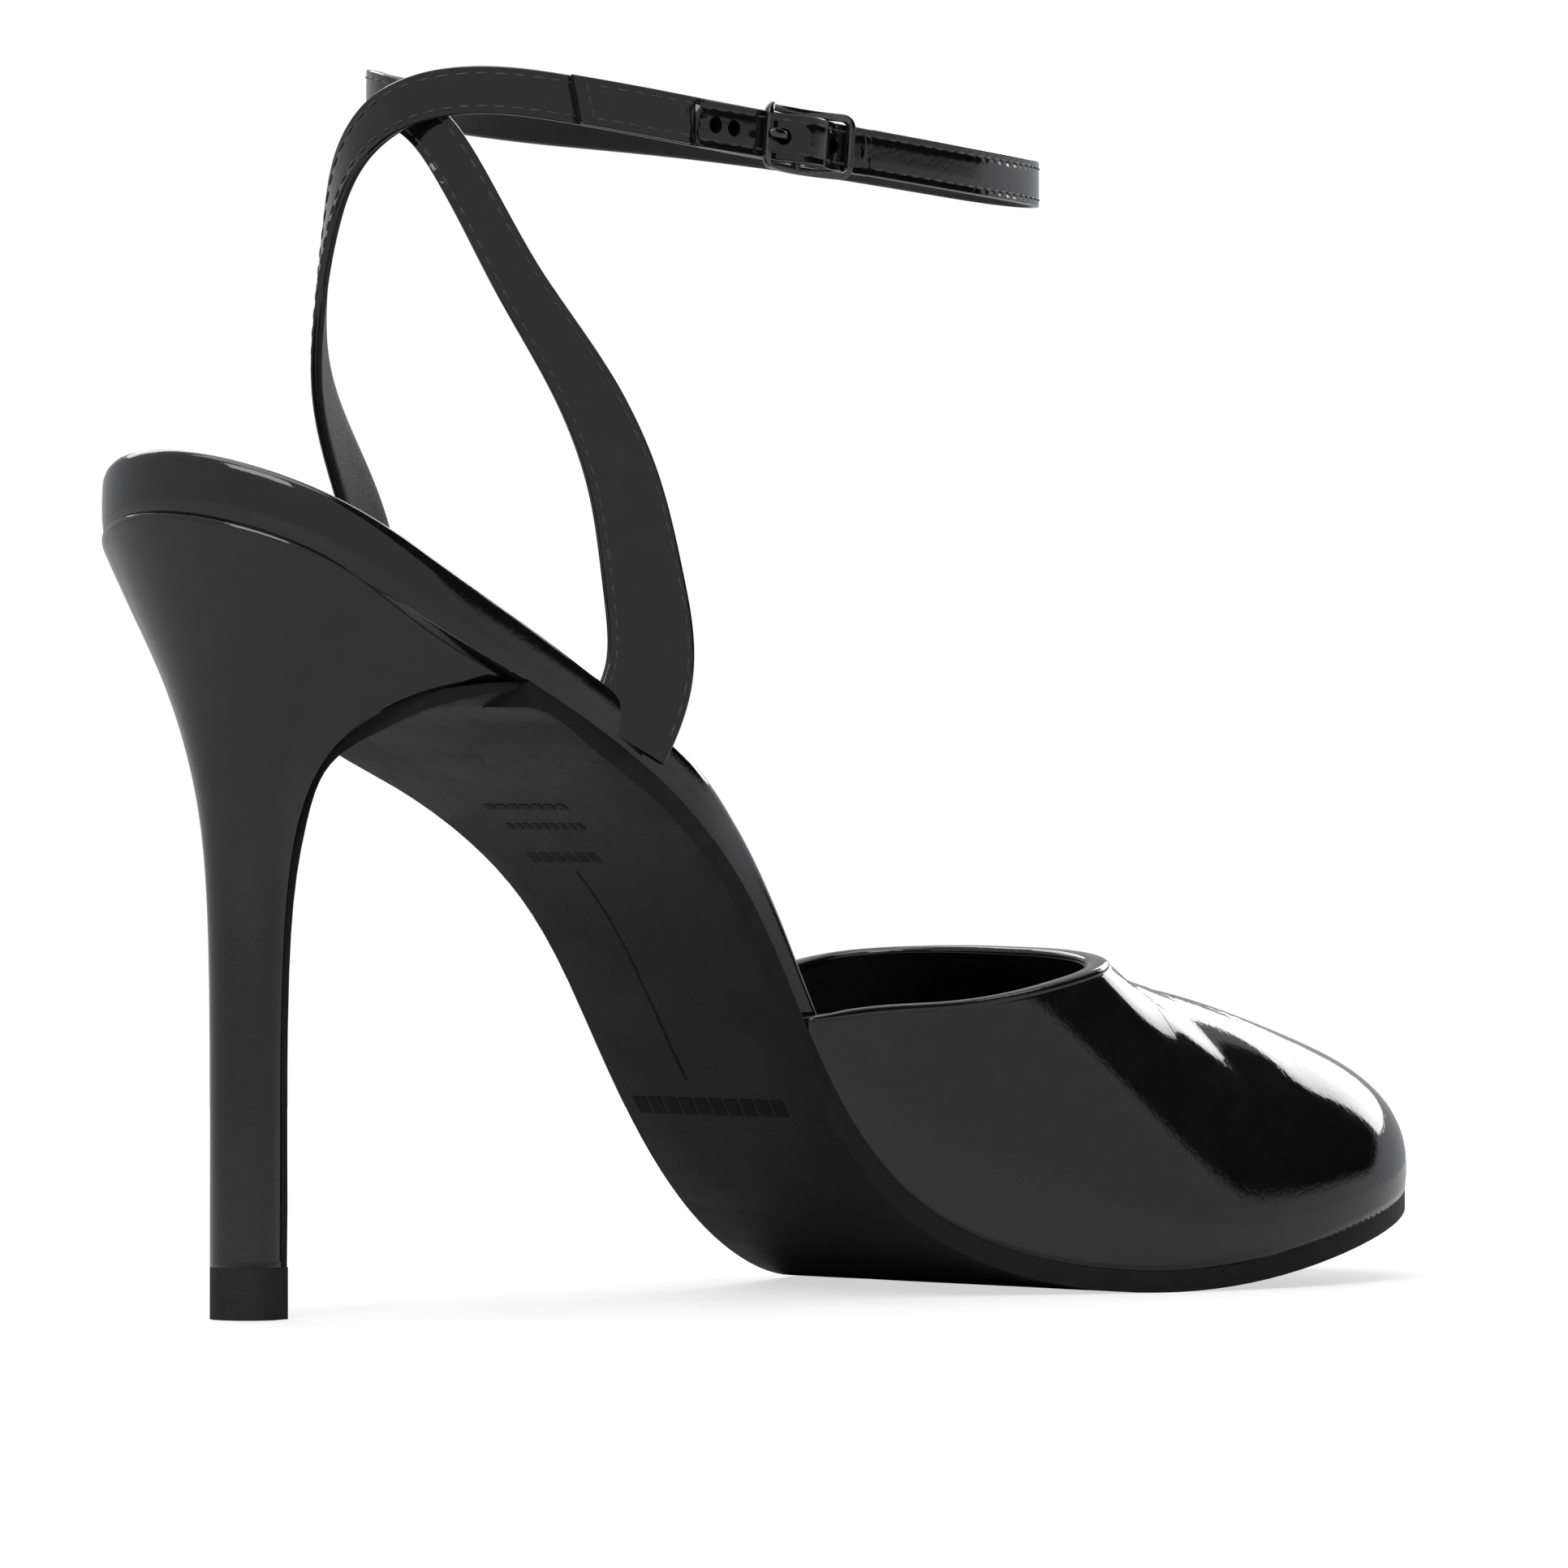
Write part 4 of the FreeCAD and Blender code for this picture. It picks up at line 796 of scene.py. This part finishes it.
def heel_row(back_x, back_z, front_x, front_z, middle, front):
    """Points round a U-shaped section of the heel, from the lateral front to the medial one."""
    back = np.array((back_x, 0.0, back_z))
    run = np.array((front_x, 0.0, front_z)) - back
    share = min(0.8, middle / np.linalg.norm(run))
    points = []
    for part in (1.0, 2 / 3, 1 / 3):
        half = middle + (front - middle) * part
        points.append(back + run * (share + (1 - share) * part) - (0.0, half, 0.0))
    for angle in np.radians((-90, -67.5, -45, -22.5, 0, 22.5, 45, 67.5, 90)):
        bend = back + run * ((1 - math.cos(angle)) * share)
        points.append(bend + (0.0, math.sin(angle) * middle, 0.0))
    for point in points[2::-1]:
        points.append(point * (1, -1, 1))
    return points


def clipped(line, keep):
    """Part of a line where keep is positive, cut between points."""
    values = np.array([keep(point) for point in line])
    inside = np.where(values > 0)[0]
    first, last = inside[0], inside[-1]
    points = [line[i] for i in range(first, last + 1)]
    if first > 0:
        share = values[first] / (values[first] - values[first - 1])
        points.insert(0, line[first] + (line[first - 1] - line[first]) * share)
    if last < len(line) - 1:
        share = values[last] / (values[last] - values[last + 1])
        points.append(line[last] + (line[last + 1] - line[last]) * share)
    return points


def make_heel_cover():
    """Patent skin of the heel, from the tip up to the seat and round to the breast flap."""
    rows = np.array([heel_row(*section) for section in HEEL])
    up_count, round_count = 120, 72
    tall = []
    for i in range(rows.shape[1]):
        place, length = curve_through(rows[:, i])
        marks = np.cumsum([0] + [np.linalg.norm(b - a) for a, b in zip(rows[:, i], rows[1:, i])])
        wanted = np.interp(np.linspace(0, len(rows) - 1, up_count), range(len(rows)), marks)
        tall.append(place(wanted))
    tall = np.array(tall)
    level = []
    for k in range(up_count):
        ring = sampled(tall[:, k], 160)
        ring = clipped(ring, lambda p: np.interp(p[2], BREAST_LINE[:, 1], BREAST_LINE[:, 0])
                       + 0.15 - p[0])
        level.append(evenly(ring, round_count + 1))
    level = np.array(level)
    table = []
    for j in range(round_count + 1):
        column = clipped(level[:, j], lambda p: min(float(seat_z(p[0], -0.05)) - p[2],
                                                    p[2] - tip_top - 0.03))
        table.append(evenly(column, up_count + 1))
    columns, heights, place = table_lookup(np.array(table))
    mesh = skin(columns, heights, place)
    outward(mesh, Vector((0.0, 0.0, 50.0)) * MM)
    piece = finished("patent_heel_cover", mesh, "shoe", PATENT_HEEL,
                     ["heel_cover"])
    wall = piece.modifiers.new("leather_thickness", "SOLIDIFY")
    wall.thickness = 0.75 * MM
    wall.offset = -1.0


# ---------------------------------------------------------------- sole, rim and sock
def make_outsole():
    """Black leather sole with its breast flap, matt all over, its edge in the same black leather."""
    mesh = cad_copy("outsole")
    piece = finished("leather_outsole", mesh, "shoe", SOLE_LEATHER, ["outsole"],
                     smooth=32.0)
    add_bevel(piece, 0.3, 50.0)


def make_top_piece():
    piece = finished("rubber_heel_tip", cad_copy("top_piece"), "shoe",
                     TIP_RUBBER, ["top_piece"], smooth=35.0)
    add_bevel(piece, 0.35, 50.0)


def rim_profile():
    """Section of the rim: inset from the outline and height above the feather line."""
    wall = [(4.5, -0.03), (1.2, -0.03), (0.5, 0.06), (0.12, 0.7), (-0.05, 1.8), (-0.08, 3.0),
            (-0.02, rim_top - rim_round)]
    turn = [(rim_round * (1 - math.cos(a)) - 0.02, rim_top - rim_round * (1 - math.sin(a)))
            for a in np.radians((18, 36, 54, 72, 90))]
    return wall + turn + [(sock_setback + 1.4, rim_top), (sock_setback + 1.8, rim_top - 0.5),
                          (0.9, rim_top - 1.2), (0.9, 0.3), (1.2, 0.02), (4.5, 0.02)]


def make_rim():
    """Patent wrapped over the edge of the foot bed, round the waist and the heel."""
    profile = np.array(rim_profile() + rim_profile()[:1])
    marks = np.linspace(0, 1, len(RING))
    lateral_end = marks[np.where((RING[:, 0] > rim_end) & (RING[:, 1] < 0))[0][0]]
    medial_end = marks[np.where((RING[:, 0] > rim_end) & (RING[:, 1] > 0))[0][-1]]
    around_count = len(profile) - 1

    def place(across, around):
        share = medial_end - 1.0 + (lateral_end - medial_end + 1.0) * across
        share %= 1.0
        inset, height = profile[int(round(around * around_count))]
        x, y = outline_at(share, 0.0)
        x, y = outline_at(share, inset + inside_upper(x))
        return Vector((x, y, float(seat_z(x, height * (1 + seat_lift(x) / rim_top)))))

    mesh = closed(skin(360, around_count, place))
    finished("patent_rim", mesh, "shoe", PATENT_RIM, ["rim_cover"], smooth=50.0)


def make_sock():
    """Padded sock of soft leather, crowned over the foam."""
    start = sole_back + sock_setback + 0.3
    end = sole_high.x - sock_setback - upper_total - 6.0

    def place(across, up):
        x = start + (end - start) * (1 - math.cos(math.pi * across)) / 2
        side = -1 if up < 0.5 else 1
        inset = sock_setback + inside_upper(x) + 0.2
        half = max(0.0, half_width(x, side) - inset)
        if across in (0.0, 1.0):
            half = 0.0
        ends = min(1.0, (x - start) / 7.0, (end - x) / 7.0)
        spot = math.sin(math.pi / 2 * (2 * up - 1))
        crown = sock_crown * (1 - abs(spot) ** 3.0) * math.sqrt(max(0.0, ends * (2 - ends)))
        return Vector((x, half * spot, float(seat_z(x, rim_top - 0.35 + crown + seat_lift(x)))))

    mesh = skin(220, 48, place)
    outward(mesh, Vector((60.0, 0.0, -60.0)) * MM)
    piece = finished("padded_sock", mesh, "shoe", SOCK, ["sock_lining"])
    wall = piece.modifiers.new("sock_thickness", "SOLIDIFY")
    wall.thickness = 0.6 * MM
    wall.offset = -1.0


def make_stamps():
    """Neutral dashes and the size number pressed in the waist of the sole."""
    mesh = bmesh.new()
    under = -outsole_thickness - mark_proud
    marks = []
    for x, y, count, length, half in STAMPS:
        for i in range(count):
            start = y + (i - count / 2) * (length + 0.55)
            marks.append([(x - half, start), (x + half, start), (x + half, start + length),
                          (x - half, start + length)])
    (x0, y0), (x1, y1) = STAMPED_LINE
    for i in range(24):
        first, last = i / 24, (i + 1) / 24
        marks.append([(x0 + (x1 - x0) * share, y0 + (y1 - y0) * share + off)
                      for share, off in ((first, -0.2), (last, -0.2), (last, 0.2), (first, 0.2))])
    for mark in marks:
        mesh.faces.new([mesh.verts.new(on_seat(x, y, under) * MM) for x, y in mark])
    bmesh.ops.recalc_face_normals(mesh, faces=mesh.faces)
    for face in mesh.faces:
        if face.normal.z > 0:
            face.normal_flip()
    finished("sole_stamp_dashes", mesh, "shoe", STAMPED, smooth=30.0)
    text = bpy.data.curves.new("size_number", "FONT")
    text.body = "37"
    text.size = 1.0
    text.extrude = 0.004
    holder = bpy.data.objects.new("size_number_form", text)
    bpy.context.scene.collection.objects.link(holder)
    bpy.context.view_layer.update()
    data = bpy.data.meshes.new_from_object(holder.evaluated_get(
        bpy.context.evaluated_depsgraph_get()))
    bpy.data.objects.remove(holder)
    number = bmesh.new()
    number.from_mesh(data)
    bmesh.ops.remove_doubles(number, verts=number.verts, dist=1e-5)
    for vert in number.verts:
        x = numeral_place[0] - vert.co.y * numeral_size
        y = numeral_place[1] - (vert.co.x - 0.56) * numeral_size
        vert.co = on_seat(x, y, under - vert.co.z * 4.0) * MM
    bmesh.ops.recalc_face_normals(number, faces=number.faces)
    finished("sole_size_number", number, "shoe", STAMPED, smooth=30.0)


# ---------------------------------------------------------------- straps
pivot = Vector(joint["pos_m"]) / MM
foot_x = pivot.x - buckle_ahead
foot_level = pivot.z - buckle_above
across_axis = Vector(joint["axis"]).normalized()
out_axis = Vector((across_axis.z * -0.035, -1.0, across_axis.x * 0.035)).normalized()
out_axis = (out_axis - across_axis * out_axis.dot(across_axis)).normalized()
run_axis = out_axis.cross(across_axis).normalized()
ankle_x = foot_x + ankle_ahead


def at_buckle(along_strap, out_by, across=0.0):
    return pivot + run_axis * along_strap + out_axis * out_by + across_axis * across


def ellipse_normal(point):
    return Vector(((point[0] - ankle_x) / ankle_half_length ** 2,
                   point[1] / ankle_half_width ** 2, 0.0))


class Strap:
    """Middle line of a strap with its directions out from the ankle and across the strap."""

    def __init__(self, points):
        place, length = curve_through([tuple(point) for point in points])
        self.line = evenly(place(np.linspace(0, length, 3000)), 1500)
        steps = np.linalg.norm(np.diff(self.line, axis=0), axis=1)
        self.marks = np.concatenate([[0.0], np.cumsum(steps)])
        self.length = self.marks[-1]
        run = np.gradient(self.line, axis=0)
        run /= np.linalg.norm(run, axis=1)[:, None]
        out = np.array([tuple(ellipse_normal(point)) for point in self.line])
        out -= run * (out * run).sum(axis=1)[:, None]
        out /= np.linalg.norm(out, axis=1)[:, None]
        self.out = out
        self.over = np.cross(run, out)

    def at(self, distance, out_by=0.0, across=0.0):
        def read(table):
            return Vector([float(np.interp(distance, self.marks, table[:, i]))
                           for i in range(3)])
        return read(self.line) + read(self.out) * out_by + read(self.over) * across

    def nearest(self, point):
        """Distance along at the point of the strap nearest to a point."""
        return self.marks[np.argmin(np.linalg.norm(self.line - np.array(point), axis=1))]


def placed(path):
    return [Vector((foot_x + x, y, foot_level + z)) for x, y, z in path]


medial = Strap(placed(MEDIAL_STRAP) + [at_buckle(-frame_reach, -1.15), at_buckle(-3.0, -0.95),
                                       at_buckle(-0.6, -1.15)])
free_end = [point + ellipse_normal(point).normalized() * strap_lap
            for point in placed(MEDIAL_STRAP)[:-4:-1]]
lateral = Strap(placed(LATERAL_STRAP) + [at_buckle(*spot) for spot in THREADING] + free_end)


def strap_half(distance):
    """Half width: broad at the foot, narrow round the ankle."""
    return strap_base_half_width + (strap_half_width - strap_base_half_width) * ease(
        distance / 75.0)


def strap_end(strap, across):
    """Length at a place across the strap: the free end is cut on a slant."""
    if strap is medial:
        return strap.length
    return strap.length - end_trim + end_slant * across


def pucker(strap, distance, across):
    """How far the stitches draw the leather in."""
    half = strap_half(distance)
    off = abs(abs(across) - (half - stitch_inset)) / 0.55
    between = 0.5 - 0.5 * math.cos(2 * math.pi * distance / stitch_pitch)
    return 0.10 * math.exp(-off * off) * (1 - 0.75 * between)


def strap_layer(strap, low, high, trim, relief):
    """Closed band between two distances out from the middle of the strap."""
    spots = []
    flat = np.linspace(-1.0, 1.0, 27)
    for share in flat:
        spots.append((share * 0.955, 1.0))
    spots += [(0.985, 0.72), (1.0, 0.25), (1.0, -0.25), (0.985, -0.72)]
    spots += [(share * 0.955, -1.0) for share in flat[::-3]]
    spots += [(-0.985, -0.72), (-1.0, -0.25), (-1.0, 0.25), (-0.985, 0.72)]
    spots.append(spots[0])
    count = len(spots) - 1
    middle, thick = (low + high) / 2, (high - low) / 2

    def place(across, around):
        wide, high_share = spots[int(round(around * count))]
        near = across * strap.length
        side = wide * (strap_half(near) - trim)
        distance = across * strap_end(strap, side)
        out_by = middle + thick * high_share
        if relief and high_share == 1.0:
            out_by -= pucker(strap, distance, side)
        return strap.at(distance, out_by, side)

    return closed(skin(int(strap.length / 0.55), count, place))


def hole_marks():
    """Distances along the lateral strap of the punched holes."""
    bar = lateral.nearest(at_buckle(0.0, 2.2))
    return [bar - prong_hole_offset - count * hole_pitch for count in (-2, -1, 0, 1, 2)]


def punch(piece):
    """Cuts the round holes through a layer of the lateral strap."""
    mesh = bmesh.new()
    for distance in hole_marks():
        axis = (lateral.at(distance, 1.0) - lateral.at(distance)).normalized()
        turn = axis.to_track_quat("Z", "Y").to_matrix().to_4x4()
        spot = Matrix.Translation(lateral.at(distance) * MM) @ turn
        bmesh.ops.create_cone(mesh, cap_ends=True, segments=28, radius1=hole_radius * MM,
                              radius2=hole_radius * MM, depth=4.0 * MM, matrix=spot)
    data = bpy.data.meshes.new("punch")
    mesh.to_mesh(data)
    mesh.free()
    tool = bpy.data.objects.new("punch", data)
    bpy.context.scene.collection.objects.link(tool)
    cut = piece.modifiers.new("holes", "BOOLEAN")
    cut.solver = "MANIFOLD"
    cut.object = tool
    bpy.context.view_layer.update()
    result = bpy.data.meshes.new_from_object(piece.evaluated_get(
        bpy.context.evaluated_depsgraph_get()))
    piece.modifiers.clear()
    piece.data = result
    bpy.data.objects.remove(tool)


def make_straps():
    """Both straps: patent outside, lining inside."""
    join = strap_lining - 0.7
    for strap, name in ((medial, "medial_strap"), (lateral, "lateral_strap")):
        top = finished("patent_" + name, strap_layer(strap, join + 0.02, 0.7, 0.0, True), "shoe",
                       PATENT_STRAP, [name], smooth=48.0)
        under = finished("lining_" + name, strap_layer(strap, -0.7, join, 0.12, False), "shoe",
                         LINING, [name + "_lining"], smooth=48.0)
        if strap is lateral:
            punch(top)
            punch(under)


def add_stitch(mesh, start, end, radius):
    """One lockstitch: a short sausage of thread."""
    run = end - start
    turn = run.to_track_quat("Z", "Y").to_matrix().to_4x4()
    grow = Matrix.Diagonal((radius, radius, run.length / 2, 1.0))
    spot = Matrix.Translation((start + end) / 2) @ turn @ grow
    bmesh.ops.create_uvsphere(mesh, u_segments=8, v_segments=6, radius=1.0, matrix=spot)


def make_strap_stitches():
    """Two rows along each strap, and one across the slanted end."""
    for strap, name in ((medial, "medial_strap"), (lateral, "lateral_strap")):
        mesh = bmesh.new()
        holes = hole_marks() if strap is lateral else []
        for side in (-1, 1):
            distance = 4.0
            while distance < strap_end(strap, side * 2.0) - 2.4:
                places = []
                for ahead in (-0.5, 0.5):
                    spot = distance + ahead * stitch_length
                    edge = side * (strap_half(spot) - stitch_inset)
                    places.append(strap.at(spot, 0.66, edge) * MM)
                add_stitch(mesh, places[0], places[1], stitch_radius * MM)
                distance += stitch_pitch
        if strap is lateral:
            for across in (-1.6, 0.0, 1.6):
                ends = [strap.at(strap_end(strap, a) - 1.7, 0.66, a) * MM
                        for a in (across - 0.65, across + 0.65)]
                add_stitch(mesh, ends[0], ends[1], stitch_radius * MM)
        finished(name + "_stitches", mesh, "shoe", THREAD)


def make_strap_loop():
    """Turned end of the medial strap round the centre bar, split for the prong."""
    mesh = bmesh.new()
    for low, high in ((-strap_half_width, -0.9), (0.9, strap_half_width)):
        def place(across, around):
            wide, tall = rounded(around, (high - low) / 2, 0.4, 5.0)
            turn = 2 * math.pi * across
            radius = 1.05 + tall
            return at_buckle(radius * math.cos(turn), radius * math.sin(turn),
                             (low + high) / 2 + wide)
        ring = skin(40, 20, place)
        bmesh.ops.recalc_face_normals(ring, faces=ring.faces)
        take_in(mesh, ring)
    finished("strap_loop", mesh, "shoe", PATENT_STRAP)


# ---------------------------------------------------------------- buckle
def frame_path(share):
    """Point round the frame seen flat: along the strap and across it, with round corners."""
    reach, half, corner = frame_reach, frame_half_width, 1.1
    straight = [2 * (reach - corner), math.pi * corner / 2, 2 * (half - corner),
                math.pi * corner / 2] * 2
    centres = [(reach - corner, -(half - corner)), (reach - corner, half - corner),
               (-(reach - corner), half - corner), (-(reach - corner), -(half - corner))]
    distance = (share % 1.0) * sum(straight)
    turn = -math.pi / 2
    spot = [-(reach - corner), -half]
    for k in range(4):
        run, bend = straight[2 * k], straight[2 * k + 1]
        direction = (math.cos(turn + math.pi / 2), math.sin(turn + math.pi / 2))
        if distance <= run:
            return ((spot[0] + direction[0] * distance, spot[1] + direction[1] * distance),
                    (math.cos(turn), math.sin(turn)))
        distance -= run
        if distance <= bend:
            angle = turn + distance / corner
            cx, cy = centres[k]
            return ((cx + corner * math.cos(angle), cy + corner * math.sin(angle)),
                    (math.cos(angle), math.sin(angle)))
        distance -= bend
        turn += math.pi / 2
        cx, cy = centres[k]
        spot = [cx + corner * math.cos(turn), cy + corner * math.sin(turn)]
    return (tuple(spot), (math.cos(turn), math.sin(turn)))


def make_buckle():
    """Bowed rectangular frame with its centre bar, in polished black nickel."""
    def place(across, around):
        (reach, side), (out_reach, out_side) = frame_path(across)
        wide, tall = rounded(around, frame_section / 2, frame_section / 2, 4.0)
        bow = frame_rise * (reach / 7.5) ** 2
        return at_buckle(reach + out_reach * wide, bow + tall, side + out_side * wide)

    mesh = skin(144, 24, place)
    bmesh.ops.recalc_face_normals(mesh, faces=mesh.faces)
    turn = across_axis.to_track_quat("Z", "Y").to_matrix().to_4x4()
    spot = Matrix.Translation(pivot * MM) @ turn
    bmesh.ops.create_cone(mesh, cap_ends=True, segments=24, radius1=bar_radius * MM,
                          radius2=bar_radius * MM, depth=2 * (frame_half_width - 0.1) * MM,
                          matrix=spot)
    finished("buckle_frame_polished", mesh, "buckle", BLACK_NICKEL,
             ["buckle_frame"], smooth=50.0)


def make_prong():
    """Tongue of the buckle: a ring round the bar and a pointed finger over the end bar."""
    top = frame_rise + prong_above_frame
    points = [(0.9, 0.42), (2.4, 0.42), (3.5, 0.75), (4.0, 0.48 * top), (4.5, 0.76 * top),
              (5.4, 0.97 * top), (frame_reach, top + 0.05), (frame_reach + 0.85, top)]
    line = sampled(points, 60)
    run = np.gradient(line, axis=0)
    run /= np.linalg.norm(run, axis=1)[:, None]

    def finger(across, around):
        i = int(round(across * (len(line) - 1)))
        slim = math.sqrt(max(0.0, min(1.0, (len(line) - 1 - i) / 5.0)))
        wide, tall = rounded(around, prong_half_width * (0.25 + 0.75 * slim),
                             0.39 * (0.3 + 0.7 * slim), 3.2)
        spot = line[i] + np.array((-run[i][1], run[i][0])) * tall
        return at_buckle(spot[0], spot[1], wide)

    def ring(across, around):
        wide, tall = rounded(around, prong_half_width, 0.23, 4.0)
        turn = 2 * math.pi * across
        radius = bar_radius + 0.05 + 0.25 + tall
        return at_buckle(radius * math.cos(turn), radius * math.sin(turn), wide)

    mesh = closed(skin(len(line) - 1, 20, finger))
    hoop = skin(36, 16, ring)
    bmesh.ops.recalc_face_normals(hoop, faces=hoop.faces)
    take_in(mesh, hoop)
    finished("buckle_prong_polished", mesh, "prong", BLACK_NICKEL,
             ["buckle_prong"], smooth=50.0)


# ---------------------------------------------------------------- floor
def make_floor():
    """Grey floor that the shoe stands on, made pale by a painted glow that only the camera sees, weaker near the
    shoe and full towards the white surround.
    """
    mesh = bmesh.new()
    bmesh.ops.create_circle(mesh, cap_ends=True, segments=96, radius=0.75,
                            matrix=Matrix.Translation((0.09, 0.0, 0.0)))
    data = bpy.data.meshes.new("floor_with_painted_glow")
    mesh.to_mesh(data)
    mesh.free()
    floor = bpy.data.objects.new("floor_with_painted_glow", data)
    bpy.context.scene.collection.objects.link(floor)
    material = bpy.data.materials.new("floor_with_painted_glow")
    material.use_nodes = True
    tree = material.node_tree
    shader = tree.nodes["Principled BSDF"]
    shader.inputs["Base Color"].default_value = (0.42, 0.42, 0.42, 1.0)
    shader.inputs["Roughness"].default_value = 0.7
    shader.inputs["Specular IOR Level"].default_value = 0.1
    shader.inputs["Emission Color"].default_value = (1.0, 1.0, 1.0, 1.0)
    where = tree.nodes.new("ShaderNodeTexCoord").outputs["Object"]
    away = tree.nodes.new("ShaderNodeVectorMath")
    away.operation = "DISTANCE"
    away.inputs[1].default_value = (0.09, 0.0, 0.0)
    tree.links.new(where, away.inputs[0])
    # painted light: the floor's own emission, rising from its value near the shoe to full brightness further out
    painted_glow = tree.nodes.new("ShaderNodeMapRange")
    painted_glow.interpolation_type = "SMOOTHSTEP"
    painted_glow.inputs["From Min"].default_value = 0.12
    painted_glow.inputs["From Max"].default_value = 0.6
    painted_glow.inputs["To Min"].default_value = painted_floor_glow
    painted_glow.inputs["To Max"].default_value = 1.0
    tree.links.new(away.outputs["Value"], painted_glow.inputs["Value"])
    # only camera rays see the painted glow, so it lights nothing around it
    seen = tree.nodes.new("ShaderNodeLightPath").outputs["Is Camera Ray"]
    tree.links.new(maths(tree, "MULTIPLY", painted_glow.outputs["Result"], seen),
                   shader.inputs["Emission Strength"])
    data.materials.append(material)


bpy.context.scene.view_settings.view_transform = "Standard"
make_camera()
place_softboxes()
make_floor()
dress_cad_nodes()
for make in (make_vamp, make_folded_edge, make_heel_cover, make_outsole, make_top_piece, make_rim,
             make_sock, make_stamps, make_straps, make_strap_loop, make_strap_stitches,
             make_buckle, make_prong):
    make()
